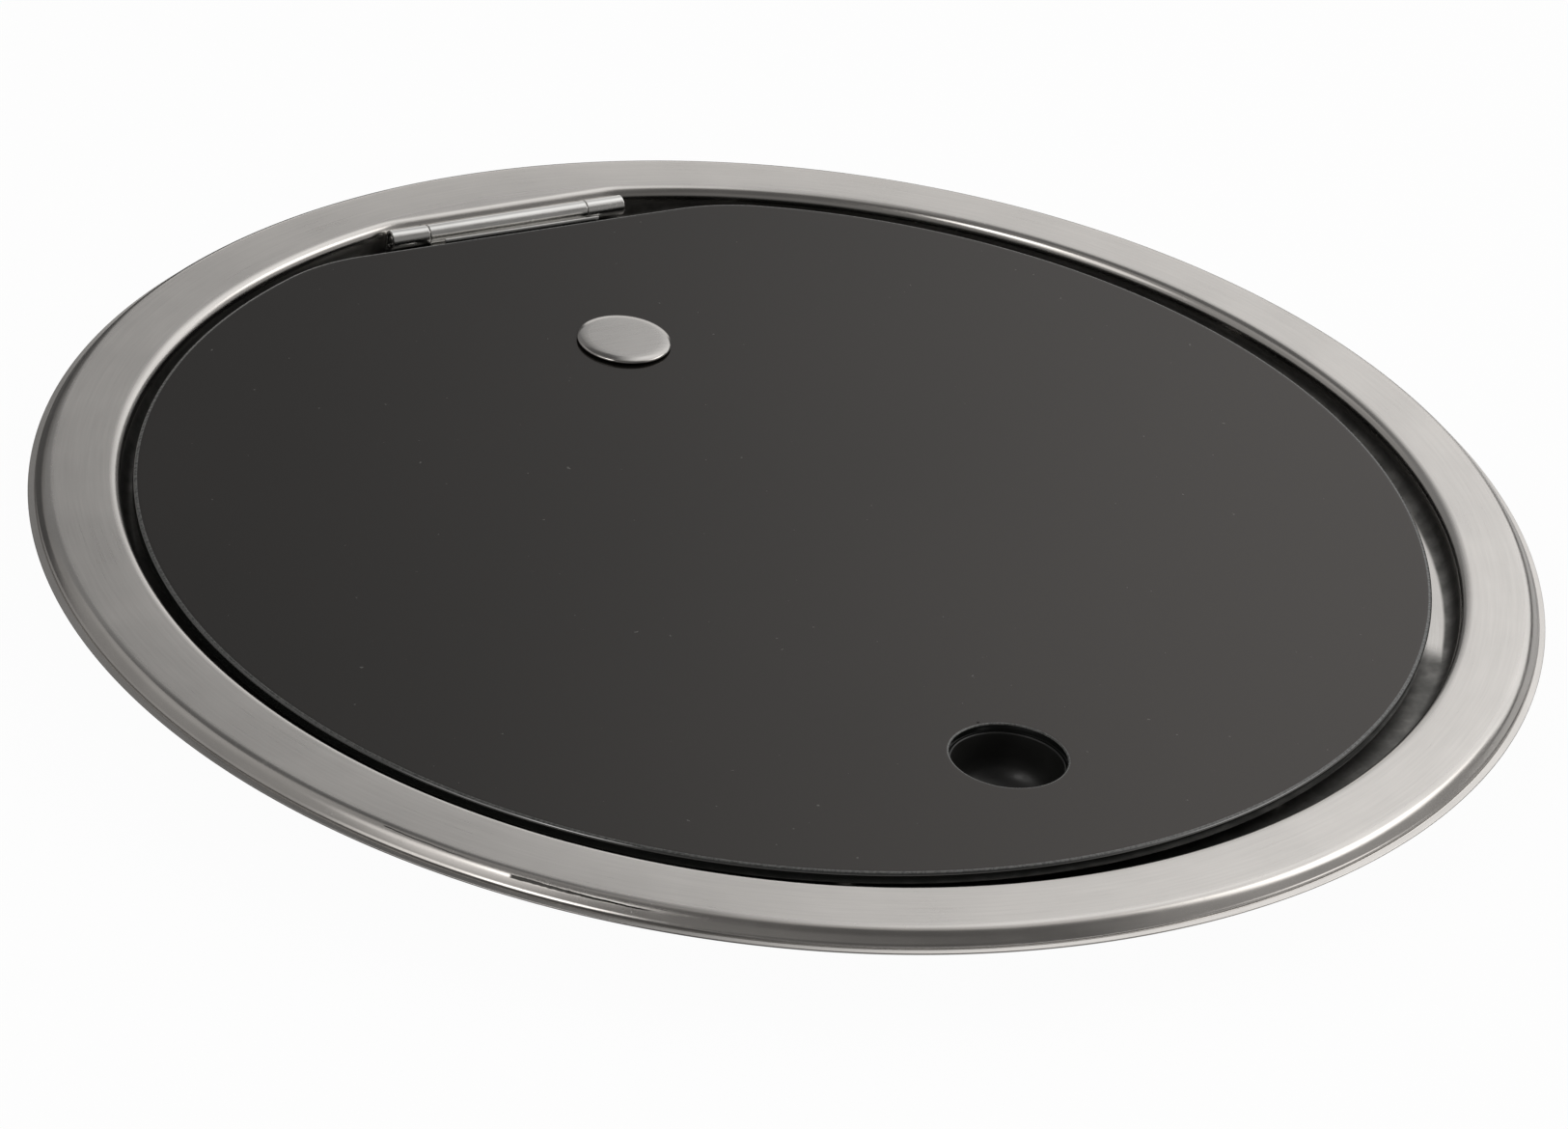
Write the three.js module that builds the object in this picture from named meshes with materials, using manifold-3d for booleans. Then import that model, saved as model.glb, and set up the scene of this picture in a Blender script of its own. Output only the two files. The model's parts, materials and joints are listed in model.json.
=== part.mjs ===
// Round flush deck hatch: a pressed steel frame with a recessed ledge, and a
// smoked-glass lid that swings up on a three-knuckle hinge.
// Millimetres, +Z up. z = 0 is the lowest point of the frame's collar, and the
// X/Y origin is the centre of the round frame. The hinge is on the +Y side and
// the finger hole is on the -Y side. Heights below are measured from the deck
// plane, which the whole model is lifted onto at the end.
import * as THREE from 'three';
import { mergeVertices } from 'three/addons/utils/BufferGeometryUtils.js';
import Module from 'manifold-3d';

const wasm = await Module();
wasm.setup();

// ---- driving dimensions ----
const DECK_Z = 24;            // height of the deck plane above the collar's foot
const FRAME_R = 220;          // outer radius of the frame's lip
const SHEET_T = 1.5;          // pressed sheet thickness
const FLANGE_TOP_R = 200;     // where the flange starts to roll into the recess
const FLANGE_TOP_Z = 6.8;
const WALL_R = 194.7;         // recess wall, inside face
const WALL_FLAT_Y = 190.4;    // straight stretch of the recess wall at the hinge
const LEDGE_Z = -2.4;         // top face of the ledge
const COLLAR_R = 162;         // clear opening radius
const COLLAR_DEPTH = 24;
const RING_SEGMENTS = 72;

const GLASS_R = 188.6;
const GLASS_T = 4;
const GLASS_TOP_Z = 6.0;
const GLASS_FLAT_Y = 176;     // straight edge at the hinge
const GLASS_CORNER_R = 14;
const GLASS_EDGE_R = 1.2;     // rounded edge

const HINGE_Y = 187.0;
const HINGE_Z = 3.7;
const KNUCKLE_R = 3.0;
const BARREL_HALF = 38.75;    // half the barrel's length
const KNUCKLE_SPLIT = 26.4;   // where the centre knuckle meets the outer ones
const KNUCKLE_GAP = 0.12;
const PIN_R = 1.5;
const BORE_R = 1.57;
const LEAF_T = 1.0;
const LEAF_LIP_Y = 176.4;     // front of the lip that stands behind the glass
const LEAF_LIP_Z = 5.4;

const FINGER_Y = -133;
const FINGER_R = 16.8;
const CUP_R = 17.4;           // outside of the cup
const CUP_COLLAR_R = 16.7;    // collar that stands inside the hole
const CUP_COLLAR_Z = 3.4;
const CUP_SEAT_R = 21.5;      // inner edge of the bonded seat
const CUP_FLANGE_R = 25.5;
const CUP_DEPTH = 15.5;

const CAP_Y = 108;
const CAP_R = 14;
const CAP_T = 2.0;
const STUD_R = 2.9;

const SCREW_PCR = 178;        // radius of the circle the fixing screws sit on
const SCREW_COUNT = 8;
const DRAIN_PCR = 177;

// ---- finishes ----
const finish = (color, roughness, metalness) =>
  new THREE.MeshStandardMaterial({ color, roughness, metalness });
const brushedSteel = () => finish(0xa9a49e, 0.38, 1.0);
const brightSteel = () => finish(0xd5d2cd, 0.18, 1.0);
const smokedGlass = () => finish(0x141412, 0.06, 0.0);
const blackRubber = () => finish(0x1c1c1b, 0.75, 0.0);
const blackPlastic = () => finish(0x0e0e0e, 0.22, 0.0);
const nylon = () => finish(0xd9d6cd, 0.5, 0.0);
const foam = () => finish(0x2b2b2b, 0.9, 0.0);
const tape = () => finish(0x222222, 0.8, 0.0);

// ---- solid helpers ----
function solid(geometry) {
  const g = geometry.clone();
  for (const name of Object.keys(g.attributes)) {
    if (name !== 'position') g.deleteAttribute(name);
  }
  const merged = mergeVertices(g, 1e-4);
  const p = merged.attributes.position.array;
  const index = merged.index.array;
  const keep = [];
  let volume = 0;
  for (let i = 0; i < index.length; i += 3) {
    const a = index[i], b = index[i + 1], c = index[i + 2];
    if (a === b || b === c || c === a) continue;
    keep.push(a, b, c);
    const ax = p[3 * a], ay = p[3 * a + 1], az = p[3 * a + 2];
    const bx = p[3 * b], by = p[3 * b + 1], bz = p[3 * b + 2];
    const cx = p[3 * c], cy = p[3 * c + 1], cz = p[3 * c + 2];
    volume += ax * (by * cz - bz * cy) + ay * (bz * cx - bx * cz) + az * (bx * cy - by * cx);
  }
  if (volume < 0) {
    for (let i = 0; i < keep.length; i += 3) [keep[i + 1], keep[i + 2]] = [keep[i + 2], keep[i + 1]];
  }
  return new wasm.Manifold(new wasm.Mesh({
    numProp: 3,
    vertProperties: new Float32Array(p),
    triVerts: new Uint32Array(keep),
  }));
}

function geometryOf(manifold) {
  const m = manifold.getMesh();
  const n = m.numProp;
  const positions = new Float32Array((m.vertProperties.length / n) * 3);
  for (let i = 0; i < m.vertProperties.length / n; i++) {
    for (let k = 0; k < 3; k++) positions[3 * i + k] = m.vertProperties[n * i + k];
  }
  const g = new THREE.BufferGeometry();
  g.setAttribute('position', new THREE.BufferAttribute(positions, 3));
  g.setIndex(new THREE.BufferAttribute(new Uint32Array(m.triVerts), 1));
  g.computeVertexNormals();
  return g;
}

// A profile of [radius, height] pairs turned about a vertical axis through (x, y).
function turned(profile, segments, x = 0, y = 0, closed = true) {
  const points = profile.map(([r, z]) => new THREE.Vector2(r, z));
  if (closed) points.push(points[0].clone());
  const g = new THREE.LatheGeometry(points, segments);
  g.rotateX(Math.PI / 2);
  g.translate(x, y, 0);
  return solid(g);
}

function ring(r0, r1, z0, z1, segments, x = 0, y = 0) {
  return turned([[r0, z0], [r1, z0], [r1, z1], [r0, z1]], segments, x, y);
}

function disc(r, z0, z1, segments, x = 0, y = 0) {
  return turned([[0, z0], [r, z0], [r, z1], [0, z1]], segments, x, y, false);
}

function plate(points, z0, z1, holes = []) {
  const shape = new THREE.Shape(points.map(([x, y]) => new THREE.Vector2(x, y)));
  for (const [x, y, r, n] of holes) {
    const path = [];
    for (let i = 0; i < n; i++) {
      const a = -(i / n) * 2 * Math.PI;
      path.push(new THREE.Vector2(x + r * Math.cos(a), y + r * Math.sin(a)));
    }
    shape.holes.push(new THREE.Path(path));
  }
  const g = new THREE.ExtrudeGeometry(shape, { depth: z1 - z0, bevelEnabled: false, steps: 1 });
  g.translate(0, 0, z0);
  return solid(g);
}

function box(x0, x1, y0, y1, z0, z1) {
  const g = new THREE.BoxGeometry(x1 - x0, y1 - y0, z1 - z0);
  g.translate((x0 + x1) / 2, (y0 + y1) / 2, (z0 + z1) / 2);
  return solid(g);
}

// A [y, z] outline pushed along X from x0 to x1.
const toX = new THREE.Matrix4().set(0, 0, 1, 0, 1, 0, 0, 0, 0, 1, 0, 0, 0, 0, 0, 1);
function alongX(points, x0, x1) {
  const shape = new THREE.Shape(points.map(([y, z]) => new THREE.Vector2(y, z)));
  const g = new THREE.ExtrudeGeometry(shape, { depth: x1 - x0, bevelEnabled: false, steps: 1 });
  g.translate(0, 0, x0);
  g.applyMatrix4(toX);
  return solid(g);
}

function barX(r, x0, x1, y, z, segments) {
  const g = new THREE.CylinderGeometry(r, r, x1 - x0, segments);
  g.rotateZ(Math.PI / 2);
  g.translate((x0 + x1) / 2, y, z);
  return solid(g);
}

// Outline of a disc of radius R cut by the line y = flat, with rounded corners.
function dOutline(R, flat, corner, step) {
  const yc = flat - corner;
  const xc = Math.sqrt((R - corner) ** 2 - yc ** 2);
  const meet = Math.atan2(yc, xc);
  const points = [];
  const from = Math.PI - meet, to = 2 * Math.PI + meet;
  const n = Math.round((to - from) / step);
  for (let i = 0; i <= n; i++) {
    const a = from + ((to - from) * i) / n;
    points.push([R * Math.cos(a), R * Math.sin(a)]);
  }
  const m = 4;
  for (let i = 1; i <= m; i++) {
    const a = meet + ((Math.PI / 2 - meet) * i) / m;
    points.push([xc + corner * Math.cos(a), yc + corner * Math.sin(a)]);
  }
  for (let i = 0; i < m; i++) {
    const a = Math.PI / 2 + ((Math.PI / 2 - meet) * i) / m;
    points.push([-xc + corner * Math.cos(a), yc + corner * Math.sin(a)]);
  }
  return points;
}

const around = (count, first, r) => [...Array(count).keys()].map((i) => {
  const a = ((first + (360 / count) * i) * Math.PI) / 180;
  return [r * Math.cos(a), r * Math.sin(a)];
});

// ---- the model ----
const hatch = new THREE.Group();
const frame = new THREE.Group();
const lid = new THREE.Group();
frame.position.z = DECK_Z;
lid.position.z = DECK_Z;
hatch.add(frame, lid);

function piece(group, name, manifold, material, x = 0, y = 0) {
  const mesh = new THREE.Mesh(geometryOf(manifold), material);
  mesh.name = name;
  mesh.position.set(x, y, 0);
  group.add(mesh);
  return mesh;
}

const screwAt = around(SCREW_COUNT, 22.5, SCREW_PCR);
const drainAt = [[-DRAIN_PCR, 0], [DRAIN_PCR, 0]];
const rivetAt = [[-31, 178], [0, 178], [31, 178]];

// frame: lip, stepped shoulder, flange, rolled inner edge, recess wall, ledge, collar
{
  const profile = [
    [FRAME_R, 0], [FRAME_R, 0.45], [218.55, 0.85], [218.4, 1.4], [217.95, 1.95],
    [216.9, 3.5], [215.8, 4.7], [214.0, 5.45], [212.3, 5.7],
    [FLANGE_TOP_R, FLANGE_TOP_Z], [198.2, 6.5], [196.5, 5.4], [195.2, 3.8],
    [WALL_R, 1.8], [WALL_R, LEDGE_Z + 0.8], [WALL_R - 0.8, LEDGE_Z],
    [COLLAR_R + 1, LEDGE_Z], [COLLAR_R, LEDGE_Z - 1], [COLLAR_R, -COLLAR_DEPTH],
    [COLLAR_R + SHEET_T, -COLLAR_DEPTH], [COLLAR_R + SHEET_T, LEDGE_Z - SHEET_T],
    [WALL_R + SHEET_T, LEDGE_Z - SHEET_T], [WALL_R + SHEET_T, 2.0],
    [199.8, 5.3], [212.0, 4.2], [215.2, 2.2], [216.2, 0],
  ];
  let rim = turned(profile, RING_SEGMENTS);
  // straight stretch of the recess wall behind the hinge, with the same rolled edge
  const shift = WALL_R - WALL_FLAT_Y;
  const edge = alongX([
    [WALL_FLAT_Y, LEDGE_Z - SHEET_T], [200, LEDGE_Z - SHEET_T], [200, FLANGE_TOP_Z],
    [FLANGE_TOP_R - shift, FLANGE_TOP_Z], [198.2 - shift, 6.5], [196.5 - shift, 5.4],
    [195.2 - shift, 3.8], [WALL_FLAT_Y, 1.8],
  ], -46, 46);
  const within = turned([
    [0, LEDGE_Z - SHEET_T], [WALL_R + SHEET_T, LEDGE_Z - SHEET_T], [WALL_R + SHEET_T, 2.0],
    [199.8, 5.3], [199.9, 6.7], [0, 6.8],
  ], RING_SEGMENTS, 0, 0, false);
  rim = rim.add(edge.intersect(within));
  for (const [x, y] of screwAt) rim = rim.subtract(disc(2.4, -6, 0, 12, x, y));
  for (const [x, y] of drainAt) rim = rim.subtract(disc(4.6, -6, 0, 16, x, y));
  for (const [x, y] of rivetAt) rim = rim.subtract(disc(1.7, -6, 0, 12, x, y));
  piece(frame, 'frame_rim', rim, brushedSteel());
}

// foam gasket in the hollow under the flange
piece(frame, 'deck_gasket', ring(203.5, 212.8, 0, 3.6, RING_SEGMENTS), foam());

// seal under the glass, lower where the lid's hinge leaf crosses it
{
  let seal = turned([
    [164.4, LEDGE_Z + 0.02], [170.4, LEDGE_Z + 0.02], [170.4, -1.3], [168.9, 0.9],
    [167.4, 1.94], [165.9, 0.9], [164.4, -1.3],
  ], RING_SEGMENTS);
  seal = seal.subtract(box(-29, 29, 150, 180, 0.55, 3));
  piece(frame, 'lid_seal', seal, blackRubber());
}

// fixing screws through the ledge
{
  const screw = turned([
    [0, -20], [1.9, -17], [1.9, LEDGE_Z + 0.03], [4.0, LEDGE_Z + 0.03],
    [4.0, -1.2], [3.0, -0.2], [0, 0],
  ], 12, 0, 0, false);
  screwAt.forEach(([x, y], i) => piece(frame, `fixing_screw_${i + 1}`, screw, brightSteel(), x, y));
}

// gutter drains: flanged tail and the nut under the ledge
drainAt.forEach(([x, y], i) => {
  const side = i ? 'right' : 'left';
  piece(frame, `drain_spigot_${side}`, turned([
    [3.0, -20], [3.9, -20], [4.3, -17.5], [4.3, LEDGE_Z + 0.03], [6, LEDGE_Z + 0.03],
    [6, -1.3], [4.0, -1.3], [3.0, -2.2],
  ], 16), blackPlastic(), x, y);
  piece(frame, `drain_nut_${side}`, disc(7.6, -8.4, LEDGE_Z - SHEET_T - 0.05, 6)
    .subtract(disc(4.45, -10, 0, 16)), blackPlastic(), x, y);
});

// hinge leaf on the ledge, with the two outer knuckles
{
  let leaf = plate([[-BARREL_HALF, 171], [BARREL_HALF, 171], [BARREL_HALF, 189.3], [-BARREL_HALF, 189.3]],
    LEDGE_Z + 0.04, -1.0, rivetAt.map(([x, y]) => [x, y, 1.7, 12]));
  for (const s of [-1, 1]) {
    const x0 = s < 0 ? -BARREL_HALF : KNUCKLE_SPLIT + KNUCKLE_GAP / 2;
    const x1 = s < 0 ? -KNUCKLE_SPLIT - KNUCKLE_GAP / 2 : BARREL_HALF;
    leaf = leaf.add(barX(KNUCKLE_R, x0, x1, HINGE_Y, HINGE_Z, 24))
      .add(box(x0, x1, HINGE_Y + 0.6, 189.3, -1.5, HINGE_Z));
  }
  leaf = leaf.subtract(barX(BORE_R, -60, 60, HINGE_Y, HINGE_Z, 24));
  piece(frame, 'hinge_fixed_leaf', leaf, brushedSteel());
}
piece(frame, 'hinge_pin', barX(PIN_R, -BARREL_HALF + 0.4, BARREL_HALF - 0.4, HINGE_Y, HINGE_Z, 24), brightSteel());
rivetAt.forEach(([x, y], i) => piece(frame, `hinge_rivet_${i + 1}`, turned([
  [0, -4.9], [2.6, -4.8], [3.0, LEDGE_Z - SHEET_T - 0.04], [1.6, LEDGE_Z - SHEET_T - 0.04],
  [1.6, -0.97], [3.2, -0.97], [2.7, -0.3], [0, -0.1],
], 12, 0, 0, false), brightSteel(), x, y));

// lid glass
{
  const outline = dOutline(GLASS_R - GLASS_EDGE_R, GLASS_FLAT_Y - GLASS_EDGE_R, GLASS_CORNER_R, Math.PI / 36);
  const shape = new THREE.Shape(outline.map(([x, y]) => new THREE.Vector2(x, y)));
  const g = new THREE.ExtrudeGeometry(shape, {
    depth: GLASS_T - 2 * GLASS_EDGE_R, bevelEnabled: true, bevelThickness: GLASS_EDGE_R,
    bevelSize: GLASS_EDGE_R, bevelSegments: 2, steps: 1,
  });
  g.translate(0, 0, GLASS_TOP_Z - GLASS_T + GLASS_EDGE_R);
  const glass = solid(g)
    .subtract(turned([
      [0, -2], [FINGER_R + 0.8, -2], [FINGER_R + 0.8, GLASS_TOP_Z - GLASS_T], [FINGER_R, GLASS_TOP_Z - GLASS_T + 0.8],
      [FINGER_R, GLASS_TOP_Z - 0.8], [FINGER_R + 0.8, GLASS_TOP_Z], [FINGER_R + 0.8, 9], [0, 9],
    ], 40, 0, FINGER_Y, false))
    .subtract(disc(6, 0, 9, 20, 0, CAP_Y));
  piece(lid, 'lid_glass', glass, smokedGlass());
}

// hinge leaf under the glass, with the centre knuckle and a lip behind the glass
const LEAF_Z = HINGE_Z - KNUCKLE_R;
const GLASS_BOTTOM = GLASS_TOP_Z - GLASS_T;
{
  const half = KNUCKLE_SPLIT - KNUCKLE_GAP / 2;
  const outline = [[half, HINGE_Y], [-half, HINGE_Y]];
  for (let i = 0; i <= 12; i++) {
    const a = Math.PI + (Math.PI * i) / 12;
    outline.push([half * Math.cos(a), 112 + half * Math.sin(a)]);
  }
  const leaf = plate(outline, LEAF_Z, LEAF_Z + LEAF_T, [[0, CAP_Y, 3.3, 16]])
    .add(barX(KNUCKLE_R, -half, half, HINGE_Y, HINGE_Z, 24))
    .add(box(-half, half, LEAF_LIP_Y, LEAF_LIP_Y + LEAF_T, LEAF_Z + 0.5, LEAF_LIP_Z))
    .subtract(barX(BORE_R, -60, 60, HINGE_Y, HINGE_Z, 24));
  piece(lid, 'hinge_lid_leaf', leaf, brightSteel());

  const padOutline = [[24, 174], [-24, 174]];
  for (let i = 0; i <= 12; i++) {
    const a = Math.PI + (Math.PI * i) / 12;
    padOutline.push([24 * Math.cos(a), 112 + 24 * Math.sin(a)]);
  }
  piece(lid, 'leaf_pad', plate(padOutline, LEAF_Z + LEAF_T + 0.03, GLASS_BOTTOM - 0.03, [[0, CAP_Y, 6.5, 20]]), tape());
}

// clamp bolt: cap on a stud, its gasket, the bush in the glass, washers and nut
piece(lid, 'bolt_cap', turned([
  [0, -8], [STUD_R - 0.4, -8], [STUD_R, -7.5], [STUD_R, GLASS_TOP_Z + 0.32], [CAP_R - 0.5, GLASS_TOP_Z + 0.32],
  [CAP_R, GLASS_TOP_Z + 0.8], [CAP_R, GLASS_TOP_Z + 1.3], [CAP_R - 0.6, GLASS_TOP_Z + 1.8],
  [CAP_R - 1.8, GLASS_TOP_Z + 2.1], [6, GLASS_TOP_Z + 2.3], [0, GLASS_TOP_Z + 0.3 + CAP_T],
], 32, 0, 0, false), brushedSteel(), 0, CAP_Y);
piece(lid, 'cap_gasket', ring(4, 12.6, GLASS_TOP_Z + 0.02, GLASS_TOP_Z + 0.3, 28), blackRubber(), 0, CAP_Y);
piece(lid, 'glass_bush', ring(3.1, 5.8, GLASS_BOTTOM + 0.05, GLASS_TOP_Z - 0.05, 20), nylon(), 0, CAP_Y);
piece(lid, 'leaf_washer', ring(3.2, 9, LEAF_Z - 1.25, LEAF_Z - 0.04, 20), brightSteel(), 0, CAP_Y);
piece(lid, 'lock_washer', ring(3.2, 5.6, LEAF_Z - 2.7, LEAF_Z - 1.3, 16)
  .subtract(box(0, 8, -0.5, 0.5, -5, 5)), brightSteel(), 0, CAP_Y);
{
  const top = LEAF_Z - 2.75;
  const nut = disc(5.77, top - 5, top, 6).add(turned([[0, top - 8.2], [2.8, top - 7.6], [4.4, top - 6.2], [4.8, top - 4.6], [0, top - 4.6]], 20, 0, 0, false))
    .subtract(disc(STUD_R + 0.12, -9.2, 5, 20));
  piece(lid, 'dome_nut', nut, brightSteel(), 0, CAP_Y);
}

// finger cup bonded under the finger hole
piece(lid, 'finger_cup', turned([
  [0, -CUP_DEPTH + 2], [10, -CUP_DEPTH + 2.4], [14.4, -11.2], [16.8, -7.6], [CUP_R, -4.6], [CUP_R, 0.3],
  [CUP_FLANGE_R, 0.3], [CUP_FLANGE_R, 1.5], [CUP_COLLAR_R, 1.5], [CUP_COLLAR_R, CUP_COLLAR_Z],
  [CUP_COLLAR_R - 0.6, CUP_COLLAR_Z], [CUP_COLLAR_R - 0.7, -4.2], [14.9, -7.9],
  [12.2, -10.5], [7, -11.9], [0, -12.1],
], 32, 0, 0, false), blackPlastic(), 0, FINGER_Y);
piece(lid, 'cup_bond_ring', ring(CUP_SEAT_R + 0.3, CUP_FLANGE_R - 0.3, 1.53, GLASS_BOTTOM - 0.03, 32), tape(), 0, FINGER_Y);

export default hatch;
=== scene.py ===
import json
import math

import bmesh
import bpy
import numpy as np
from mathutils import Matrix, Vector
from mathutils.geometry import tessellate_polygon


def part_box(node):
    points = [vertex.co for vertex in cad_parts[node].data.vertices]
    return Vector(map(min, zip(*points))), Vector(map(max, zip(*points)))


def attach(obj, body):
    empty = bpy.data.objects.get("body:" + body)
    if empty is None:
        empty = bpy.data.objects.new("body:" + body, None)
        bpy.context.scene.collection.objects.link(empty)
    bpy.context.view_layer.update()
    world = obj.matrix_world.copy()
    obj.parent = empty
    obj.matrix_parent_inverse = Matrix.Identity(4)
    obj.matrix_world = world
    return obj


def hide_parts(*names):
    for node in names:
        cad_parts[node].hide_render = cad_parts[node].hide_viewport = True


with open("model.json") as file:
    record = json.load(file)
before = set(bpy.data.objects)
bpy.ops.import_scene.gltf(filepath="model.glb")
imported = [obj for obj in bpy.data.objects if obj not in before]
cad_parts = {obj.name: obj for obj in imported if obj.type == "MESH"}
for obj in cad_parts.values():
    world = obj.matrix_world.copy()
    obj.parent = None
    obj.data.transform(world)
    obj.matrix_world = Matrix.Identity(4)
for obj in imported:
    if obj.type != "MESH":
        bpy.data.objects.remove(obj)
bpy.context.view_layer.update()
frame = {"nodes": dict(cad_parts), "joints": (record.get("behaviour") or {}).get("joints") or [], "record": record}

# ------------------------------------------------------------------ positions
# Everything below is worked in millimetres above the deck plane and turned into
# metres in the row frame when a mesh is made.
DECK = next(m for m in frame["record"]["mounts"] if m["name"] == "deck_face")["pos_m"][2] * 1000.0
JOINT = frame["joints"][0]
HINGE_Y = JOINT["pos_m"][1] * 1000.0
HINGE_Z = JOINT["pos_m"][2] * 1000.0 - DECK


def node_box(name):
    lo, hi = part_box(name)
    lo, hi = lo * 1000.0, hi * 1000.0
    return (lo.x, lo.y, lo.z - DECK), (hi.x, hi.y, hi.z - DECK)


rim_lo, rim_hi = node_box("frame_rim")
glass_lo, glass_hi = node_box("lid_glass")
cap_lo, cap_hi = node_box("bolt_cap")
cup_lo, cup_hi = node_box("finger_cup")
leaf_lo, leaf_hi = node_box("hinge_lid_leaf")
fix_lo, fix_hi = node_box("hinge_fixed_leaf")
pin_lo, pin_hi = node_box("hinge_pin")

R_LIP = rim_hi[0]
COLLAR_FOOT = rim_lo[2]
GLASS_R = glass_hi[0]
GLASS_FLAT = glass_hi[1]
GLASS_TOP = glass_hi[2]
GLASS_BOT = glass_lo[2]
CAP_Y = (cap_lo[1] + cap_hi[1]) / 2
CAP_R = (cap_hi[0] - cap_lo[0]) / 2
FINGER_Y = (cup_lo[1] + cup_hi[1]) / 2
FINGER_R = 16.8
BARREL_R = (pin_lo[1] + pin_hi[1]) / 2 - HINGE_Y + 3.0
SPLIT = leaf_hi[0]
BARREL_HALF = fix_hi[0]
WALL_R = 194.7
WALL_FLAT = 190.4
LEDGE = -2.4
SHEET = 1.5
LID_TURN = math.radians(-0.5)


# ------------------------------------------------------------------ mesh helpers
def finish_mesh(name, verts, faces, body, mats, node=(), sharp=32.0, mat_index=None):
    me = bpy.data.meshes.new(name)
    pts = [(x / 1000.0, y / 1000.0, (z + DECK) / 1000.0) for x, y, z in verts]
    me.from_pydata(pts, [], faces)
    me.validate(verbose=False)
    bm = bmesh.new()
    bm.from_mesh(me)
    bmesh.ops.remove_doubles(bm, verts=bm.verts, dist=2e-7)
    bmesh.ops.recalc_face_normals(bm, faces=bm.faces)
    bm.to_mesh(me)
    bm.free()
    for m in mats:
        me.materials.append(m)
    me.shade_smooth()
    me.set_sharp_from_angle(angle=math.radians(sharp))
    ob = bpy.data.objects.new(name, me)
    bpy.context.scene.collection.objects.link(ob)
    if node:
        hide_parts(*node)
    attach(ob, body)
    return ob


def rounded(points, steps=5):
    """Polyline [(x, y, fillet radius)] closed, with its corners rounded."""
    out = []
    n = len(points)
    for i in range(n):
        x, y, r = points[i]
        px, py, _ = points[i - 1]
        nx, ny, _ = points[(i + 1) % n]
        if r <= 0:
            out.append((x, y))
            continue
        a = Vector((px - x, py - y))
        b = Vector((nx - x, ny - y))
        la, lb = a.length, b.length
        a, b = a / la, b / lb
        cosang = max(-1.0, min(1.0, a.dot(b)))
        half = math.acos(cosang) / 2
        if half > math.pi / 2 - 0.01:
            out.append((x, y))
            continue
        t = min(r / math.tan(half), la * 0.48, lb * 0.48)
        rr = t * math.tan(half)
        c = Vector((x, y)) + (a + b).normalized() * (rr / math.sin(half))
        s = Vector((x, y)) + a * t - c
        e = Vector((x, y)) + b * t - c
        turn = s.angle_signed(e) if s.length > 0 else 0
        k = max(2, int(round(steps * abs(turn) / 0.8)) + 1)
        for j in range(k + 1):
            ang = turn * j / k
            ca, sa = math.cos(-ang), math.sin(-ang)
            v = Vector((s.x * ca - s.y * sa, s.x * sa + s.y * ca))
            out.append((c.x + v.x, c.y + v.y))
    return out


def grid_faces(rows, cols, close_rows, close_cols, base=0):
    faces = []
    for i in range(rows if close_rows else rows - 1):
        for j in range(cols if close_cols else cols - 1):
            a = base + i * cols + j
            b = base + i * cols + (j + 1) % cols
            c = base + ((i + 1) % rows) * cols + (j + 1) % cols
            d = base + ((i + 1) % rows) * cols + j
            faces.append((a, b, c, d))
    return faces


def turned(name, profile, n, centre, body, mats, node=(), sharp=32.0, closed=False, hexagon=None):
    """A profile [(r, z)] turned about a vertical axis. A profile that isn't closed starts and ends on the axis."""
    verts, faces = [], []
    prof = list(profile)
    inner = prof if closed else prof[1:-1]
    for r, z in inner:
        for j in range(n):
            a = 2 * math.pi * j / n
            rr = r
            if hexagon and r > hexagon[1]:
                lim = hexagon[0] / math.cos((a % (math.pi / 3)) - math.pi / 6)
                rr = min(r, lim)
            verts.append((centre[0] + rr * math.cos(a), centre[1] + rr * math.sin(a), z))
    faces = grid_faces(len(inner), n, closed, True)
    if not closed:
        verts.append((centre[0], centre[1], prof[0][1]))
        first = len(verts) - 1
        for j in range(n):
            faces.append((first, (j + 1) % n, j))
        verts.append((centre[0], centre[1], prof[-1][1]))
        last = len(verts) - 1
        base = (len(inner) - 1) * n
        for j in range(n):
            faces.append((last, base + j, base + (j + 1) % n))
    return finish_mesh(name, verts, faces, body, mats, node, sharp)


def cut(ob, cutters):
    """Cuts closed meshes out of ob, exactly."""
    for c in cutters:
        m = ob.modifiers.new("cut", "BOOLEAN")
        m.operation = "DIFFERENCE"
        m.solver = "EXACT"
        m.object = c
    dg = bpy.context.evaluated_depsgraph_get()
    me = bpy.data.meshes.new_from_object(ob.evaluated_get(dg), depsgraph=dg)
    ob.modifiers.clear()
    old = ob.data
    name = old.name
    ob.data = me
    bpy.data.meshes.remove(old)
    me.name = name
    for c in cutters:
        d = c.data
        bpy.data.objects.remove(c)
        bpy.data.meshes.remove(d)


def join(ob, others):
    """Adds closed shells to ob as they are, so that each keeps its own even shading."""
    bm = bmesh.new()
    bm.from_mesh(ob.data)
    for c in others:
        bm.from_mesh(c.data)
        d = c.data
        bpy.data.objects.remove(c)
        bpy.data.meshes.remove(d)
    bm.to_mesh(ob.data)
    bm.free()
    ob.data.shade_smooth()
    ob.data.set_sharp_from_angle(angle=math.radians(32))


def raw(name, verts, faces):
    """A mesh object used only to cut or join."""
    me = bpy.data.meshes.new(name)
    me.from_pydata([(x / 1000.0, y / 1000.0, (z + DECK) / 1000.0) for x, y, z in verts], [], faces)
    bm = bmesh.new()
    bm.from_mesh(me)
    bmesh.ops.recalc_face_normals(bm, faces=bm.faces)
    bm.to_mesh(me)
    bm.free()
    ob = bpy.data.objects.new(name, me)
    bpy.context.scene.collection.objects.link(ob)
    return ob


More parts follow.
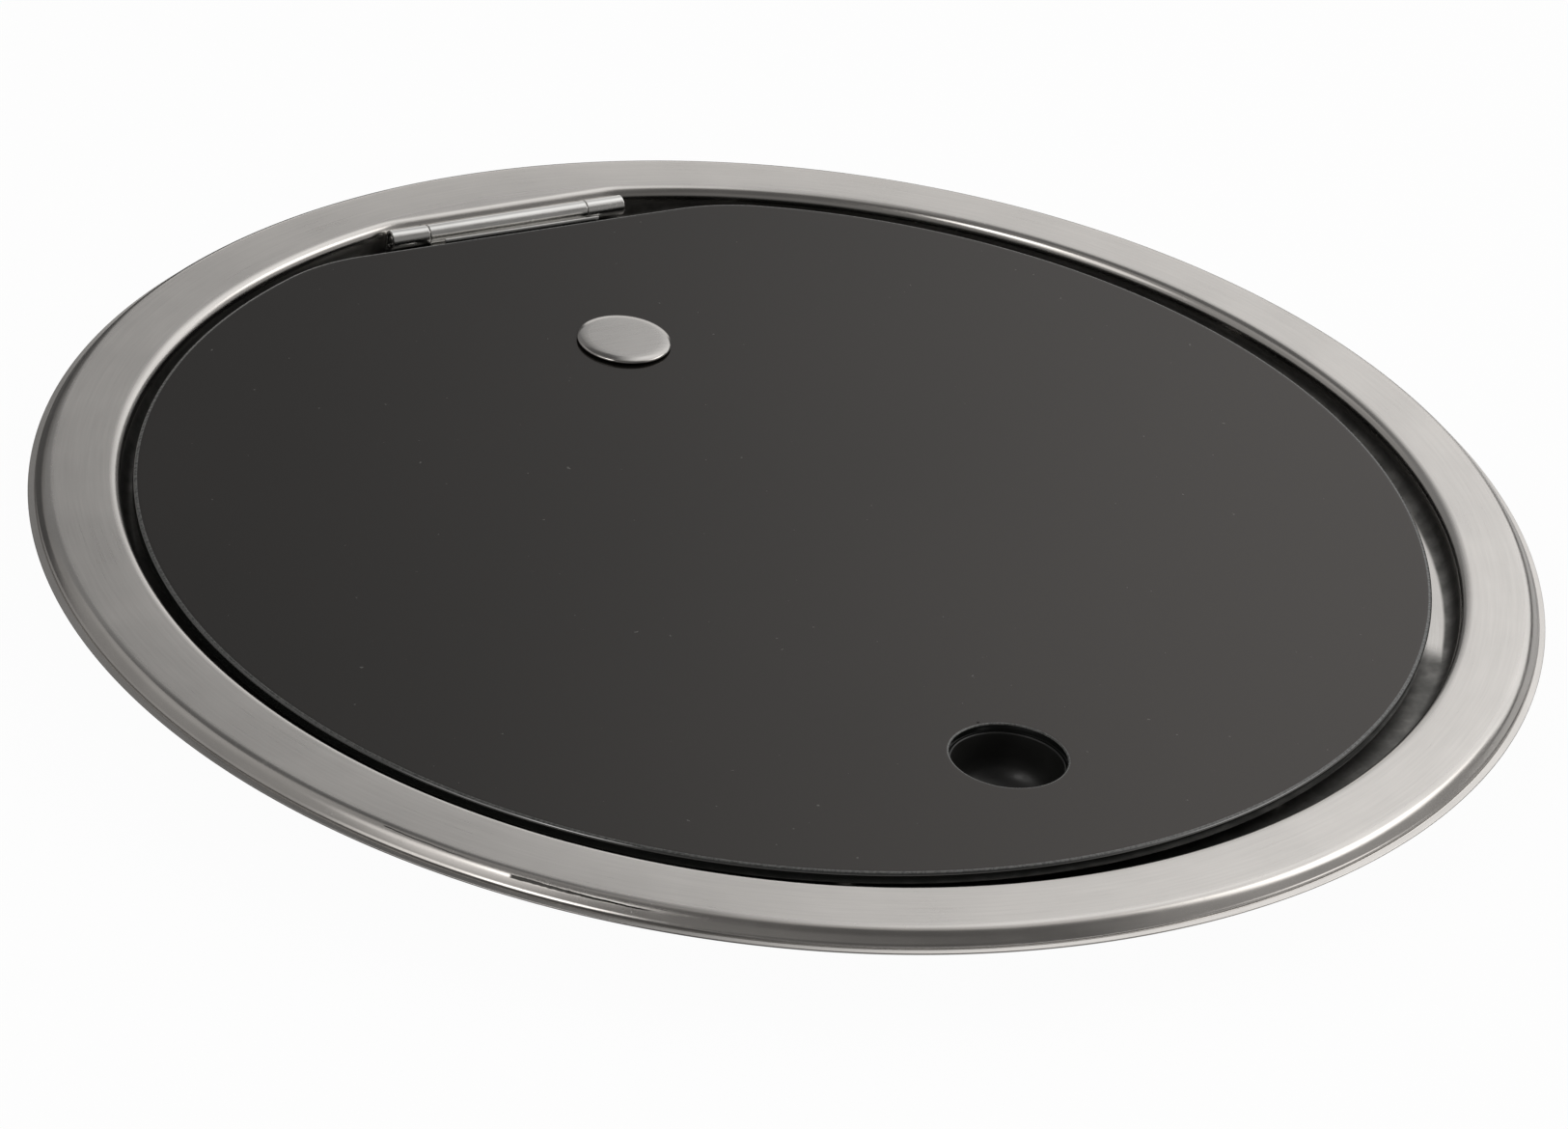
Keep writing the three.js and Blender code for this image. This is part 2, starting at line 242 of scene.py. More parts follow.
def raw_turned(profile, n, centre, hexagon=None):
    verts, faces = [], []
    inner = profile[1:-1]
    for r, z in inner:
        for j in range(n):
            a = 2 * math.pi * j / n
            verts.append((centre[0] + r * math.cos(a), centre[1] + r * math.sin(a), z))
    faces = grid_faces(len(inner), n, False, True)
    verts.append((centre[0], centre[1], profile[0][1]))
    verts.append((centre[0], centre[1], profile[-1][1]))
    f, l = len(verts) - 2, len(verts) - 1
    base = (len(inner) - 1) * n
    for j in range(n):
        faces.append((f, (j + 1) % n, j))
        faces.append((l, base + j, base + (j + 1) % n))
    return raw("cutter", verts, faces)


def post(r, z0, z1, n, x, y):
    return raw_turned([(0, z0), (r, z0), (r, z1), (0, z1)], n, (x, y))


def raw_box(x0, x1, y0, y1, z0, z1, spin=0.0, centre=(0, 0)):
    v = []
    for z in (z0, z1):
        for x, y in ((x0, y0), (x1, y0), (x1, y1), (x0, y1)):
            c, s = math.cos(spin), math.sin(spin)
            v.append((centre[0] + x * c - y * s, centre[1] + x * s + y * c, z))
    f = [(0, 3, 2, 1), (4, 5, 6, 7), (0, 1, 5, 4), (1, 2, 6, 5), (2, 3, 7, 6), (3, 0, 4, 7)]
    return raw("cutter", v, f)


def along_x(name, outline, stations, body, mats, node=(), sharp=32.0):
    """A closed [y, z] outline pushed along X. stations are (x, inset) pairs; an inset shrinks the outline a little, for a softened end."""
    n = len(outline)
    cy = sum(p[0] for p in outline) / n
    cz = sum(p[1] for p in outline) / n
    normals = []
    for i in range(n):
        a = Vector(outline[i - 1])
        b = Vector(outline[(i + 1) % n])
        t = (b - a).normalized()
        normals.append(Vector((t.y, -t.x)))
    area = sum(outline[i][0] * outline[(i + 1) % n][1] - outline[(i + 1) % n][0] * outline[i][1] for i in range(n))
    sgn = 1 if area > 0 else -1
    verts = []
    for x, inset in stations:
        for i in range(n):
            y, z = outline[i]
            verts.append((x, y - sgn * normals[i].x * inset, z - sgn * normals[i].y * inset))
    faces = grid_faces(len(stations), n, False, True)
    faces.append(tuple(range(n)))
    faces.append(tuple((len(stations) - 1) * n + i for i in reversed(range(n))))
    if name is None:
        return raw("cutter", verts, faces)
    return finish_mesh(name, verts, faces, body, mats, node, sharp)


def d_outline(R, flat, corner, n_arc, n_corner, n_flat, cx=0.0, cy=0.0):
    """Points of a disc cut by the line y = flat, with rounded corners. The counts are the same for every size, so that rings match."""
    yc = flat - corner - cy
    xc = math.sqrt(max((R - corner) ** 2 - yc**2, 0.0))
    meet = math.atan2(yc, xc)
    pts = []
    a0, a1 = math.pi - meet, 2 * math.pi + meet
    for i in range(n_arc):
        a = a0 + (a1 - a0) * i / n_arc
        pts.append((R * math.cos(a), R * math.sin(a)))
    for i in range(n_corner):
        a = meet + (math.pi / 2 - meet) * i / n_corner
        pts.append((xc + corner * math.cos(a), yc + corner * math.sin(a)))
    for i in range(n_flat):
        pts.append((xc - 2 * xc * i / n_flat, flat - cy))
    for i in range(n_corner):
        a = math.pi / 2 + (math.pi / 2 - meet) * i / n_corner
        pts.append((-xc + corner * math.cos(a), yc + corner * math.sin(a)))
    return [(x + cx, y + cy) for x, y in pts]


def plate(name, rings, holes, body, mats, node=(), sharp=32.0):
    """A flat plate. rings is a list of (outline, z) from the top support ring round the edge to the bottom support ring.
    holes is a list of (centre, [(r, z)...], n) from the top of the plate to the bottom."""
    verts, faces = [], []
    n = len(rings[0][0])
    for outline, z in rings:
        verts += [(x, y, z) for x, y in outline]
    faces += grid_faces(len(rings), n, False, True)
    tops, bottoms = [list(range(n))], [list(range((len(rings) - 1) * n, len(rings) * n))]
    for (cx, cy), prof, m in holes:
        base = len(verts)
        for r, z in prof:
            for j in range(m):
                a = 2 * math.pi * j / m
                verts.append((cx + r * math.cos(a), cy + r * math.sin(a), z))
        faces += grid_faces(len(prof), m, False, True, base)
        tops.append([base + j for j in range(m)])
        bottoms.append([base + (len(prof) - 1) * m + j for j in range(m)])
    for loops in (tops, bottoms):
        polys = [[Vector((verts[i][0], verts[i][1], 0)) for i in loop] for loop in loops]
        flat = [i for loop in loops for i in loop]
        for tri in tessellate_polygon(polys):
            t = tuple(flat[k] for k in tri)
            if len(set(t)) == 3:
                faces.append(t)
    return finish_mesh(name, verts, faces, body, mats, node, sharp)


# ------------------------------------------------------------------ material helpers
class Nodes:
    """Short names for building a node material."""

    def __init__(self, name):
        self.mat = bpy.data.materials.new(name)
        self.mat.use_nodes = True
        self.t = self.mat.node_tree
        self.bsdf = self.t.nodes["Principled BSDF"]
        self.out = self.t.nodes["Material Output"]
        self.coord = self.t.nodes.new("ShaderNodeTexCoord").outputs["Object"]

    def new(self, kind, **props):
        n = self.t.nodes.new(kind)
        for k, v in props.items():
            setattr(n, k, v)
        return n

    def put(self, socket, value):
        if isinstance(value, bpy.types.NodeSocket):
            self.t.links.new(value, socket)
        else:
            socket.default_value = value

    def math(self, op, a, b=0.0, c=0.0, clamp=False):
        n = self.new("ShaderNodeMath", operation=op, use_clamp=clamp)
        self.put(n.inputs[0], a)
        self.put(n.inputs[1], b)
        if op in ("MULTIPLY_ADD", "SMOOTH_MIN", "WRAP", "COMPARE"):
            self.put(n.inputs[2], c)
        return n.outputs[0]

    def ramp(self, v, a, b, lo, hi, smooth=True):
        n = self.new("ShaderNodeMapRange", interpolation_type="SMOOTHSTEP" if smooth else "LINEAR")
        self.put(n.inputs[0], v)
        for i, x in ((1, a), (2, b), (3, lo), (4, hi)):
            self.put(n.inputs[i], x)
        return n.outputs[0]

    def xyz(self):
        s = self.new("ShaderNodeSeparateXYZ")
        self.put(s.inputs[0], self.coord)
        return s.outputs[0], s.outputs[1], s.outputs[2]

    def combine(self, x, y, z):
        s = self.new("ShaderNodeCombineXYZ")
        for i, v in enumerate((x, y, z)):
            self.put(s.inputs[i], v)
        return s.outputs[0]

    def noise(self, vector, scale, detail=3.0, rough=0.55):
        n = self.new("ShaderNodeTexNoise")
        self.put(n.inputs["Vector"], vector)
        n.inputs["Scale"].default_value = scale
        n.inputs["Detail"].default_value = detail
        n.inputs["Roughness"].default_value = rough
        return n.outputs["Fac"] if "Fac" in n.outputs else n.outputs[0]

    def mixc(self, f, a, b):
        n = self.new("ShaderNodeMix", data_type="RGBA")
        self.put(n.inputs[0], f)
        self.put(n.inputs[6], a)
        self.put(n.inputs[7], b)
        return n.outputs[2]

    def bump(self, height, strength, distance):
        n = self.new("ShaderNodeBump")
        self.put(n.inputs["Height"], height)
        n.inputs["Strength"].default_value = strength
        n.inputs["Distance"].default_value = distance
        return n.outputs[0]

    def set(self, name, value):
        self.put(self.bsdf.inputs[name], value)


def col(r, g, b):
    return (r, g, b, 1.0)


def steel_material(name, tone, rough, pattern, spread=0.08, grain=0.5, bump=0.05, scale=1.0, stains=0.06):
    """Satin stainless: fine drawn lines, a soft mottle and small scuffs. pattern is 'round' (lines follow the ring), 'x' or 'y'."""
    m = Nodes(name)
    x, y, z = m.xyz()
    if pattern == "round":
        r = m.math("SQRT", m.math("ADD", m.math("MULTIPLY", x, x), m.math("MULTIPLY", y, y)))
        safe = m.math("MAXIMUM", r, 1e-5)
        line = m.combine(
            m.math("MULTIPLY", m.math("DIVIDE", x, safe), 7.0),
            m.math("MULTIPLY", m.math("DIVIDE", y, safe), 7.0),
            m.math("MULTIPLY", m.math("ADD", r, m.math("MULTIPLY", z, 0.8)), 1300.0 * scale),
        )
    elif pattern == "x":
        line = m.combine(m.math("MULTIPLY", x, 60.0), m.math("MULTIPLY", y, 1500.0 * scale), m.math("MULTIPLY", z, 1500.0 * scale))
    else:
        line = m.combine(m.math("MULTIPLY", x, 1500.0 * scale), m.math("MULTIPLY", y, 60.0), m.math("MULTIPLY", z, 1500.0 * scale))
    fine = m.noise(line, 1.0, 4.0, 0.65)
    mottle = m.noise(m.coord, 38.0, 3.0, 0.5)
    scuff = m.noise(m.coord, 420.0, 2.0, 0.6)
    v = m.math("ADD", m.math("MULTIPLY", m.math("SUBTRACT", fine, 0.5), grain), m.math("MULTIPLY", m.math("SUBTRACT", mottle, 0.5), 0.5))
    rough_v = m.math("ADD", m.math("MULTIPLY", v, spread * 2.2), rough)
    rough_v = m.math("ADD", rough_v, m.ramp(scuff, 0.62, 0.74, 0.0, 0.05))
    m.set("Roughness", m.math("MINIMUM", m.math("MAXIMUM", rough_v, 0.04), 0.9))
    dark = tuple(c * (1.0 - stains * 2.0) for c in tone)
    light = tuple(min(1.0, c * (1.0 + stains)) for c in tone)
    m.set("Base Color", m.mixc(m.ramp(v, -0.28, 0.28, 0.0, 1.0, False), col(*dark), col(*light)))
    m.set("Metallic", 1.0)
    m.set("Normal", m.bump(fine, bump, 0.0002))
    return m


def plastic_material(name, tone, rough, scale=900.0, bump=0.15, coat=0.0):
    m = Nodes(name)
    a = m.noise(m.coord, scale, 3.0, 0.6)
    b = m.noise(m.coord, 60.0, 2.0, 0.5)
    m.set("Base Color", m.mixc(m.ramp(b, 0.3, 0.7, 0.0, 1.0), col(*[c * 0.8 for c in tone]), col(*[c * 1.25 for c in tone])))
    m.set("Roughness", m.math("ADD", m.math("MULTIPLY", m.math("SUBTRACT", a, 0.5), 0.25), rough))
    m.set("Normal", m.bump(a, bump, 0.0002))
    if coat:
        m.set("Coat Weight", coat)
    return m.mat


# frame steel: satin flange, brighter worked edge
m = steel_material("frame_steel", (0.612, 0.588, 0.562), 0.30, "round", spread=0.08, grain=0.62, bump=0.06, stains=0.075)
x, y, z = m.xyz()
r = m.math("SQRT", m.math("ADD", m.math("MULTIPLY", x, x), m.math("MULTIPLY", y, y)))
zz = m.math("SUBTRACT", z, DECK / 1000.0)
edge = m.ramp(r, 0.2125, 0.2148, 0.0, 1.0)
inner = m.ramp(r, 0.1975, 0.1962, 0.0, 1.0)
old = m.bsdf.inputs["Roughness"].links[0].from_socket
rr = m.math("SUBTRACT", old, m.math("MULTIPLY", m.math("MAXIMUM", edge, inner), 0.10))
# painted shade: the corner of the recess, meaning its wall, the ledge at the front and the pocket beside the hinge, is
# coloured near-black and made rougher, most of all beside the hinge; a noise varies how strong it is
ang = m.math("ARCTAN2", y, x)
low = m.ramp(zz, 0.0042, 0.0015, 0.0, 1.0)
in_wall = m.math("MULTIPLY", m.ramp(r, 0.1903, 0.1915, 0.0, 1.0), m.ramp(r, 0.1962, 0.1952, 0.0, 1.0))
pocket = m.math("MULTIPLY", m.ramp(y, 0.150, 0.166, 0.0, 1.0), m.ramp(r, 0.1962, 0.1950, 0.0, 1.0))
shaded = m.math("MAXIMUM", m.ramp(ang, -0.585, -0.655, 0.0, 1.0), m.ramp(ang, 0.95, 1.25, 0.0, 1.0))
shaded = m.math("MULTIPLY", shaded, m.math("MULTIPLY", m.ramp(r, 0.1700, 0.1760, 0.0, 1.0), m.ramp(r, 0.1962, 0.1950, 0.0, 1.0)))
painted_recess_shade = m.math("MULTIPLY", m.math("MAXIMUM", m.math("MAXIMUM", in_wall, pocket), shaded), low)
painted_recess_shade = m.math("MULTIPLY", painted_recess_shade, m.ramp(m.noise(m.coord, 130.0, 3.0, 0.6), 0.2, 0.7, 0.72, 1.0))
tone = m.bsdf.inputs["Base Color"].links[0].from_socket
tone = m.mixc(m.math("MULTIPLY", painted_recess_shade, 0.86), tone, col(0.07, 0.071, 0.066))
# creases and scratches in the shoulder at the front left: the two creases are painted as thin near-black lines of
# shade, and worn scratches make the band a little rougher
band = m.math("MULTIPLY", m.ramp(r, 0.2146, 0.2150, 0.0, 1.0), m.ramp(r, 0.2180, 0.2176, 0.0, 1.0))
arc = m.math("MULTIPLY", m.ramp(ang, -2.72, -2.60, 0.0, 1.0), m.ramp(ang, -2.02, -2.22, 0.0, 1.0))
wob = m.math("MULTIPLY", m.math("SUBTRACT", m.noise(m.coord, 220.0, 2.0, 0.6), 0.5), 0.0004)


def crease(a0, a1, r0, r1, w0, w1):
    path = m.math("ADD", m.ramp(ang, a0, a1, r0, r1), wob)
    off = m.math("DIVIDE", m.math("ABSOLUTE", m.math("SUBTRACT", r, path)), m.ramp(ang, a0, a1, w0, w1))
    span = m.math("MULTIPLY", m.ramp(ang, a0, a0 + 0.005, 0.0, 1.0), m.ramp(ang, a1, a1 - 0.03, 0.0, 1.0))
    return m.math("MULTIPLY", m.ramp(off, 0.8, 1.3, 1.0, 0.0), span)


# painted shade: two thin near-black lines along the creases
painted_crease_shade = m.math("MAXIMUM", crease(-2.416, -2.215, 0.21622, 0.21648, 0.00034, 0.00012), crease(-2.60, -2.46, 0.21530, 0.21550, 0.00011, 0.00007))
tone = m.mixc(m.math("MULTIPLY", painted_crease_shade, 0.97), tone, col(0.008, 0.008, 0.007))
m.set("Base Color", tone)
worn = m.math("MULTIPLY", m.math("MULTIPLY", band, arc), m.noise(m.coord, 700.0, 3.0, 0.7))
rr = m.math("ADD", rr, m.math("ADD", m.math("MULTIPLY", painted_recess_shade, 0.35), m.math("MULTIPLY", worn, 0.08)))
m.set("Roughness", m.math("MAXIMUM", rr, 0.05))
FRAME_STEEL = m.mat
FRAME_NODES = m

m = steel_material("hinge_steel", (0.74, 0.73, 0.71), 0.20, "x", spread=0.09, grain=0.9, bump=0.07, stains=0.10)
x, y, z = m.xyz()
zz = m.math("SUBTRACT", z, DECK / 1000.0)
# painted shade, partly scuffs: the hinge steel is mixed towards near-black and made rougher below the deck's height in
# the recess, and in scuff patches on the lower barrel
low = m.ramp(zz, 0.0002, -0.0009, 0.0, 1.0)
scuffs = m.ramp(m.noise(m.combine(m.math("MULTIPLY", x, 90.0), m.math("MULTIPLY", y, 500.0), m.math("MULTIPLY", z, 500.0)), 1.0, 3.0, 0.7), 0.60, 0.72, 0.0, 0.45)
low_shade_and_scuffs = m.math("MAXIMUM", m.math("MULTIPLY", low, 0.9), m.math("MULTIPLY", scuffs, m.ramp(zz, 0.0052, 0.0036, 0.0, 1.0)))
m.set("Base Color", m.mixc(low_shade_and_scuffs, m.bsdf.inputs["Base Color"].links[0].from_socket, col(0.05, 0.05, 0.046)))
m.set("Roughness", m.math("ADD", m.bsdf.inputs["Roughness"].links[0].from_socket, m.math("MULTIPLY", low_shade_and_scuffs, 0.35)))
HINGE_STEEL = m.mat
BRIGHT_STEEL = steel_material("fastener_steel", (0.70, 0.69, 0.67), 0.22, "y", spread=0.06, grain=0.5, bump=0.04).mat

# cap: brushed across its top, polished round its edge
m = steel_material("cap_steel", (0.505, 0.487, 0.468), 0.28, "x", spread=0.06, grain=0.7, bump=0.05)
x, y, z = m.xyz()
dy = m.math("SUBTRACT", y, CAP_Y / 1000.0)
r = m.math("SQRT", m.math("ADD", m.math("MULTIPLY", x, x), m.math("MULTIPLY", dy, dy)))
old = m.bsdf.inputs["Roughness"].links[0].from_socket
m.set("Roughness", m.math("SUBTRACT", old, m.ramp(r, 0.0106, 0.0116, 0.0, 0.15)))
CAP_STEEL = m.mat

# lid glass: near-black smoked glass with a very faint drawn streak and a few specks of dust
m = Nodes("smoked_glass")
x, y, z = m.xyz()
streak = m.noise(m.combine(m.math("MULTIPLY", x, 14.0), m.math("MULTIPLY", y, 420.0), m.math("MULTIPLY", z, 14.0)), 1.0, 3.0, 0.6)
cloud = m.noise(m.coord, 9.0, 2.0, 0.5)
speck = m.noise(m.coord, 520.0, 1.0, 0.4)
dust = m.ramp(speck, 0.80, 0.84, 0.0, 1.0)
base = m.mixc(m.ramp(cloud, 0.3, 0.7, 0.0, 1.0), col(0.0040, 0.0040, 0.0035), col(0.0060, 0.0056, 0.0050))
m.set("Base Color", m.mixc(m.math("MULTIPLY", dust, 0.5), base, col(0.20, 0.20, 0.19)))
rough = m.math("ADD", m.math("MULTIPLY", m.math("SUBTRACT", streak, 0.5), 0.09), 0.085)
m.set("Roughness", m.math("MAXIMUM", m.math("ADD", rough, m.math("MULTIPLY", dust, 0.3)), 0.03))
m.set("IOR", 1.47)
m.set("Specular Tint", col(1.0, 0.87, 0.78))
# painted reflection: the lid's specular level rises from the camera's left to its right, so its right side reflects
# more
across = m.math("SUBTRACT", m.math("MULTIPLY", x, 0.857), m.math("MULTIPLY", y, 0.515))
m.set("Specular IOR Level", m.ramp(across, -0.17, 0.16, 0.25, 0.50))
m.set("Normal", m.bump(streak, 0.012, 0.0002))
GLASS = m.mat

# ground arris of the glass: a matt grey line
m = Nodes("glass_arris")
n1 = m.noise(m.coord, 900.0, 3.0, 0.6)
m.set("Base Color", m.mixc(m.ramp(n1, 0.3, 0.7, 0.0, 1.0), col(0.05, 0.052, 0.05), col(0.12, 0.12, 0.115)))
m.set("Roughness", m.ramp(n1, 0.2, 0.8, 0.22, 0.34))
m.set("IOR", 1.6)
GLASS_ARRIS = m.mat

# ground edge of the glass
m = Nodes("glass_edge")
n1 = m.noise(m.coord, 300.0, 2.0, 0.5)
m.set("Base Color", m.mixc(n1, col(0.006, 0.0068, 0.0062), col(0.010, 0.0115, 0.0105)))
m.set("Roughness", m.ramp(n1, 0.2, 0.8, 0.06, 0.11))
m.set("IOR", 2.3)
GLASS_EDGE = m.mat

RUBBER = plastic_material("seal_rubber", (0.018, 0.018, 0.017), 0.58, 1200.0, 0.25)
FOAM = plastic_material("foam", (0.035, 0.035, 0.034), 0.88, 1500.0, 0.8)
TAPE = plastic_material("bond_tape", (0.025, 0.025, 0.024), 0.7, 800.0, 0.3)
NYLON = plastic_material("nylon", (0.62, 0.60, 0.54), 0.42, 700.0, 0.12)
BLACK_PLASTIC = plastic_material("black_plastic", (0.02, 0.02, 0.02), 0.38, 1400.0, 0.2)
CUP_BLACK = plastic_material("cup_black", (0.016, 0.016, 0.015), 0.40, 250.0, 0.04, coat=0.10)


# ------------------------------------------------------------------ frame
def wall_radius(a):
    """Radius of the recess wall at angle a: the ring, straightened behind the hinge, with softened corners."""
    s = math.sin(a)
    round_r = WALL_R - 0.45 + 0.55 * math.cos(a + math.radians(31))
    if s <= 0.5:
        return round_r
    c = WALL_FLAT / s
    k = 0.55
    d = c - round_r
    # smooth minimum of the two
    h = max(k - abs(d), 0.0) / k
    return min(c, round_r) - h * h * k * 0.25


COVE = 4.0  # radius between the recess wall and the ledge


def shoulder():
    """Points from the flange down to the lip: (length, tilt at its end in degrees) stretches, tilt changing evenly along each."""
    r, z, tilt = 212.6, 5.72, 5.5
    out = [(r, z)]
    for length, end in ((1.0, 7.0), (2.2, 38.0), (1.7, 57.0), (1.7, 60.0), (0.3, 46.0), (0.35, 50.0), (0.3, 84.0), (0.5, 86.0)):
        n = max(2, int(round(length / 0.17)))
        for k in range(n):
            th = math.radians(tilt + (end - tilt) * (k + 0.5) / n)
            r += math.cos(th) * length / n
            z -= math.sin(th) * length / n
            out.append((r, z))
        tilt = end
    return out


SHOULDER = shoulder()
RIM = [
    (R_LIP, 0.0, 0.12),
    (R_LIP, 0.42, 0.22),
    (SHOULDER[-1][0] + 0.08, max(0.62, SHOULDER[-1][1] - 0.05), 0.18),
] + [(r, z, 0.0) for r, z in reversed(SHOULDER)] + [
    (WALL_R, 7.25, 3.3),
    (WALL_R, LEDGE, COVE),
    (162.0, LEDGE, 1.6),
    (162.0, COLLAR_FOOT, 0.35),
    (162.0 + SHEET, COLLAR_FOOT, 0.35),
    (162.0 + SHEET, LEDGE - SHEET, 0.4),
    (WALL_R + SHEET, LEDGE - SHEET, 1.6),
    (WALL_R + SHEET, 5.45, 2.0),
    (212.2, 4.2, 3.0),
    (214.6, 3.5, 1.0),
    (216.2, 1.3, 0.5),
    (216.5, 0.0, 0.2),
]


def rim_profile():
    prof = rounded(RIM, 7)
    out = []
    for i in range(len(prof)):
        a, b = prof[i], prof[(i + 1) % len(prof)]
        out.append(a)
        d = math.hypot(b[0] - a[0], b[1] - a[1])
        k = int(d // 5.0)
        for j in range(1, k + 1):
            out.append((a[0] + (b[0] - a[0]) * j / (k + 1), a[1] + (b[1] - a[1]) * j / (k + 1)))
    return out


prof = rim_profile()
SEG = 432
verts = []
for r, z in prof:
    if r >= 193.4:
        w = min(1.0, max(0.0, (206.5 - r) / 6.5))
    else:
        w = min(1.0, max(0.0, (r - 186.0) / 7.4))
    for j in range(SEG):
        a = 2 * math.pi * j / SEG
        rr = r + (wall_radius(a) - WALL_R) * w
        zq = z
        if WALL_R - COVE - 0.01 < r < WALL_R + 0.01 and z < LEDGE + COVE + 0.01:
            # behind the hinge the corner is tighter, to clear the fixed leaf
            k = min(1.0, max(0.0, (abs(math.cos(a)) * WALL_R - 42.0) / 14.0)) if math.sin(a) > 0 else 1.0
            if k < 1.0:
                shrink = 1.0 - (1.0 - k) * 0.78
                rr = rr + (WALL_R - r) * (1.0 - shrink)
                zq = LEDGE + (z - LEDGE) * shrink
        verts.append((rr * math.cos(a), rr * math.sin(a), zq))
rim = finish_mesh(
    "frame_ring", verts, grid_faces(len(prof), SEG, True, True), "frame", [FRAME_STEEL],
    ("frame_rim",), 40.0,
)


def centre_of(name):
    lo, hi = node_box(name)
    return (lo[0] + hi[0]) / 2, (lo[1] + hi[1]) / 2


screws = [(n, centre_of(n)) for n in sorted(frame["nodes"]) if n.startswith("fixing_screw_")]
drains = [(n, centre_of(n)) for n in sorted(frame["nodes"]) if n.startswith("drain_spigot_")]
nuts = [(n, centre_of(n)) for n in sorted(frame["nodes"]) if n.startswith("drain_nut_")]
rivets = [(n, centre_of(n)) for n in sorted(frame["nodes"]) if n.startswith("hinge_rivet_")]
holes = [post(2.4, -7, 1, 32, *c) for _, c in screws]
holes += [post(4.6, -7, 1, 40, *c) for _, c in drains]
holes += [post(1.7, -7, 1, 24, *c) for _, c in rivets]
cut(rim, holes)

turned(
    "gasket_ring",
    rounded([(203.5, 0.0, 0.5), (212.8, 0.0, 0.5), (212.8, 3.5, 0.8), (203.5, 3.6, 0.8)], 4),
    288, (0, 0), "frame", [FOAM], ("deck_gasket",), closed=True,
)

# seal: a hollow-looking bulb on a flat foot, lower where the lid's leaf crosses it
seal_prof = rounded(
    [(164.4, -2.36, 0.15), (170.4, -2.36, 0.15), (170.4, -1.3, 0.35), (169.3, -0.9, 0.5), (169.1, 0.6, 0.9),
     (168.3, 1.93, 0.9), (166.5, 1.93, 0.9), (165.7, 0.6, 0.9), (165.5, -0.9, 0.5), (164.4, -1.3, 0.35)], 5)
SN = 360
verts = []
for r, z in seal_prof:
    for j in range(SN):
        a = 2 * math.pi * j / SN
        xx = r * math.cos(a)
        yy = r * math.sin(a)
        zq = z
        if yy > 0 and abs(xx) < 33 and z > -0.9:
            top = 0.5 if abs(xx) < 28.5 else 0.5 + (1.95 - 0.5) * (abs(xx) - 28.5) / 4.5
            zq = -0.9 + (z + 0.9) * (top + 0.9) / (1.95 + 0.9)
        verts.append((xx, yy, zq))
finish_mesh("seal_ring", verts, grid_faces(len(seal_prof), SN, True, True), "frame", [RUBBER], ("lid_seal",))

# ledge screws: pan heads with a cross recess, shanks with a ridge for each turn of thread
for k, (n, c) in enumerate(screws):
    prof = [(0, -20.0), (0.35, -19.6), (1.5, -17.4)]
    zt = -17.4
    while zt < -4.6:
        prof += [(1.42, zt + 0.15), (1.42, zt + 0.45), (2.0, zt + 0.72), (2.0, zt + 0.80)]
        zt += 1.1
    prof += [(1.9, -3.9), (1.9, LEDGE + 0.03), (3.85, LEDGE + 0.03), (4.0, LEDGE + 0.2), (4.0, -1.55), (3.9, -1.2),
             (3.6, -0.8), (3.1, -0.45), (2.4, -0.2), (1.5, -0.06), (0.7, -0.01), (0, 0.0)]
    ob = turned("pan_screw_%d" % (k + 1), prof, 40, c, "frame", [BRIGHT_STEEL], (n,), 40.0)
    spin = math.radians(17 + 53 * k)
    cut(ob, [raw_box(-2.1, 2.1, -0.42, 0.42, -1.35, 1.0, spin, c), raw_box(-0.42, 0.42, -2.1, 2.1, -1.352, 1.0, spin, c)])

for n, c in drains:
    prof = rounded(
        [(3.0, -20.0, 0.2), (3.9, -20.0, 0.2), (4.3, -17.5, 0.3), (4.3, LEDGE + 0.03, 0.1), (6.0, LEDGE + 0.03, 0.15),
         (6.0, -1.35, 0.5), (4.0, -1.3, 0.3), (3.0, -2.2, 0.5)], 4)
    turned(n.replace("spigot", "tail"), prof, 64, c, "frame", [BLACK_PLASTIC], (n,), closed=True)
for n, c in nuts:
    prof = [(4.45, -8.4), (6.3, -8.4), (7.0, -8.2), (7.6, -7.9), (7.6, -4.45), (7.0, -4.12), (6.3, -3.96), (4.45, -3.96)]
    turned(n.replace("nut", "hex_nut"), prof, 96, c, "frame", [BLACK_PLASTIC], (n,), 25.0, closed=True, hexagon=(6.58, 4.6))


# ------------------------------------------------------------------ hinge
def rolled(start_deg, end_deg, outer, thick, steps):
    """Outline of a strip rolled round the hinge axis, from start to end, angles in the [y, z] plane."""
    o, i = [], []
    for k in range(steps + 1):
        a = math.radians(start_deg + (end_deg - start_deg) * k / steps)
        o.append((HINGE_Y + outer * math.cos(a), HINGE_Z + outer * math.sin(a)))
        i.append((HINGE_Y + (outer - thick) * math.cos(a), HINGE_Z + (outer - thick) * math.sin(a)))
    return o, i


def ends(x0, x1, soft=0.16):
    n = max(2, int((x1 - x0) / 4))
    run = [(x0 + soft + 0.06 + (x1 - x0 - 2 * soft - 0.12) * k / n, 0.0) for k in range(n + 1)]
    return [(x0, soft), (x0 + soft * 0.35, soft * 0.35), (x0 + soft, 0.0)] + run + [(x1 - soft, 0.0), (x1 - soft * 0.35, soft * 0.35), (x1, soft)]


KR = 3.0
TH = 1.05
LEAF_TOP = HINGE_Z - KR + TH - 0.05
# centre knuckle: the strip comes in flat under the barrel, goes round the back and over the top
o, i = rolled(-90, 214, KR, TH, 60)
outline = [(176.0, HINGE_Z - KR)] + o + list(reversed(i)) + [(176.0, LEAF_TOP)]
knuckle = along_x(None, outline, ends(-SPLIT + 0.05, SPLIT - 0.05), "lid", [])
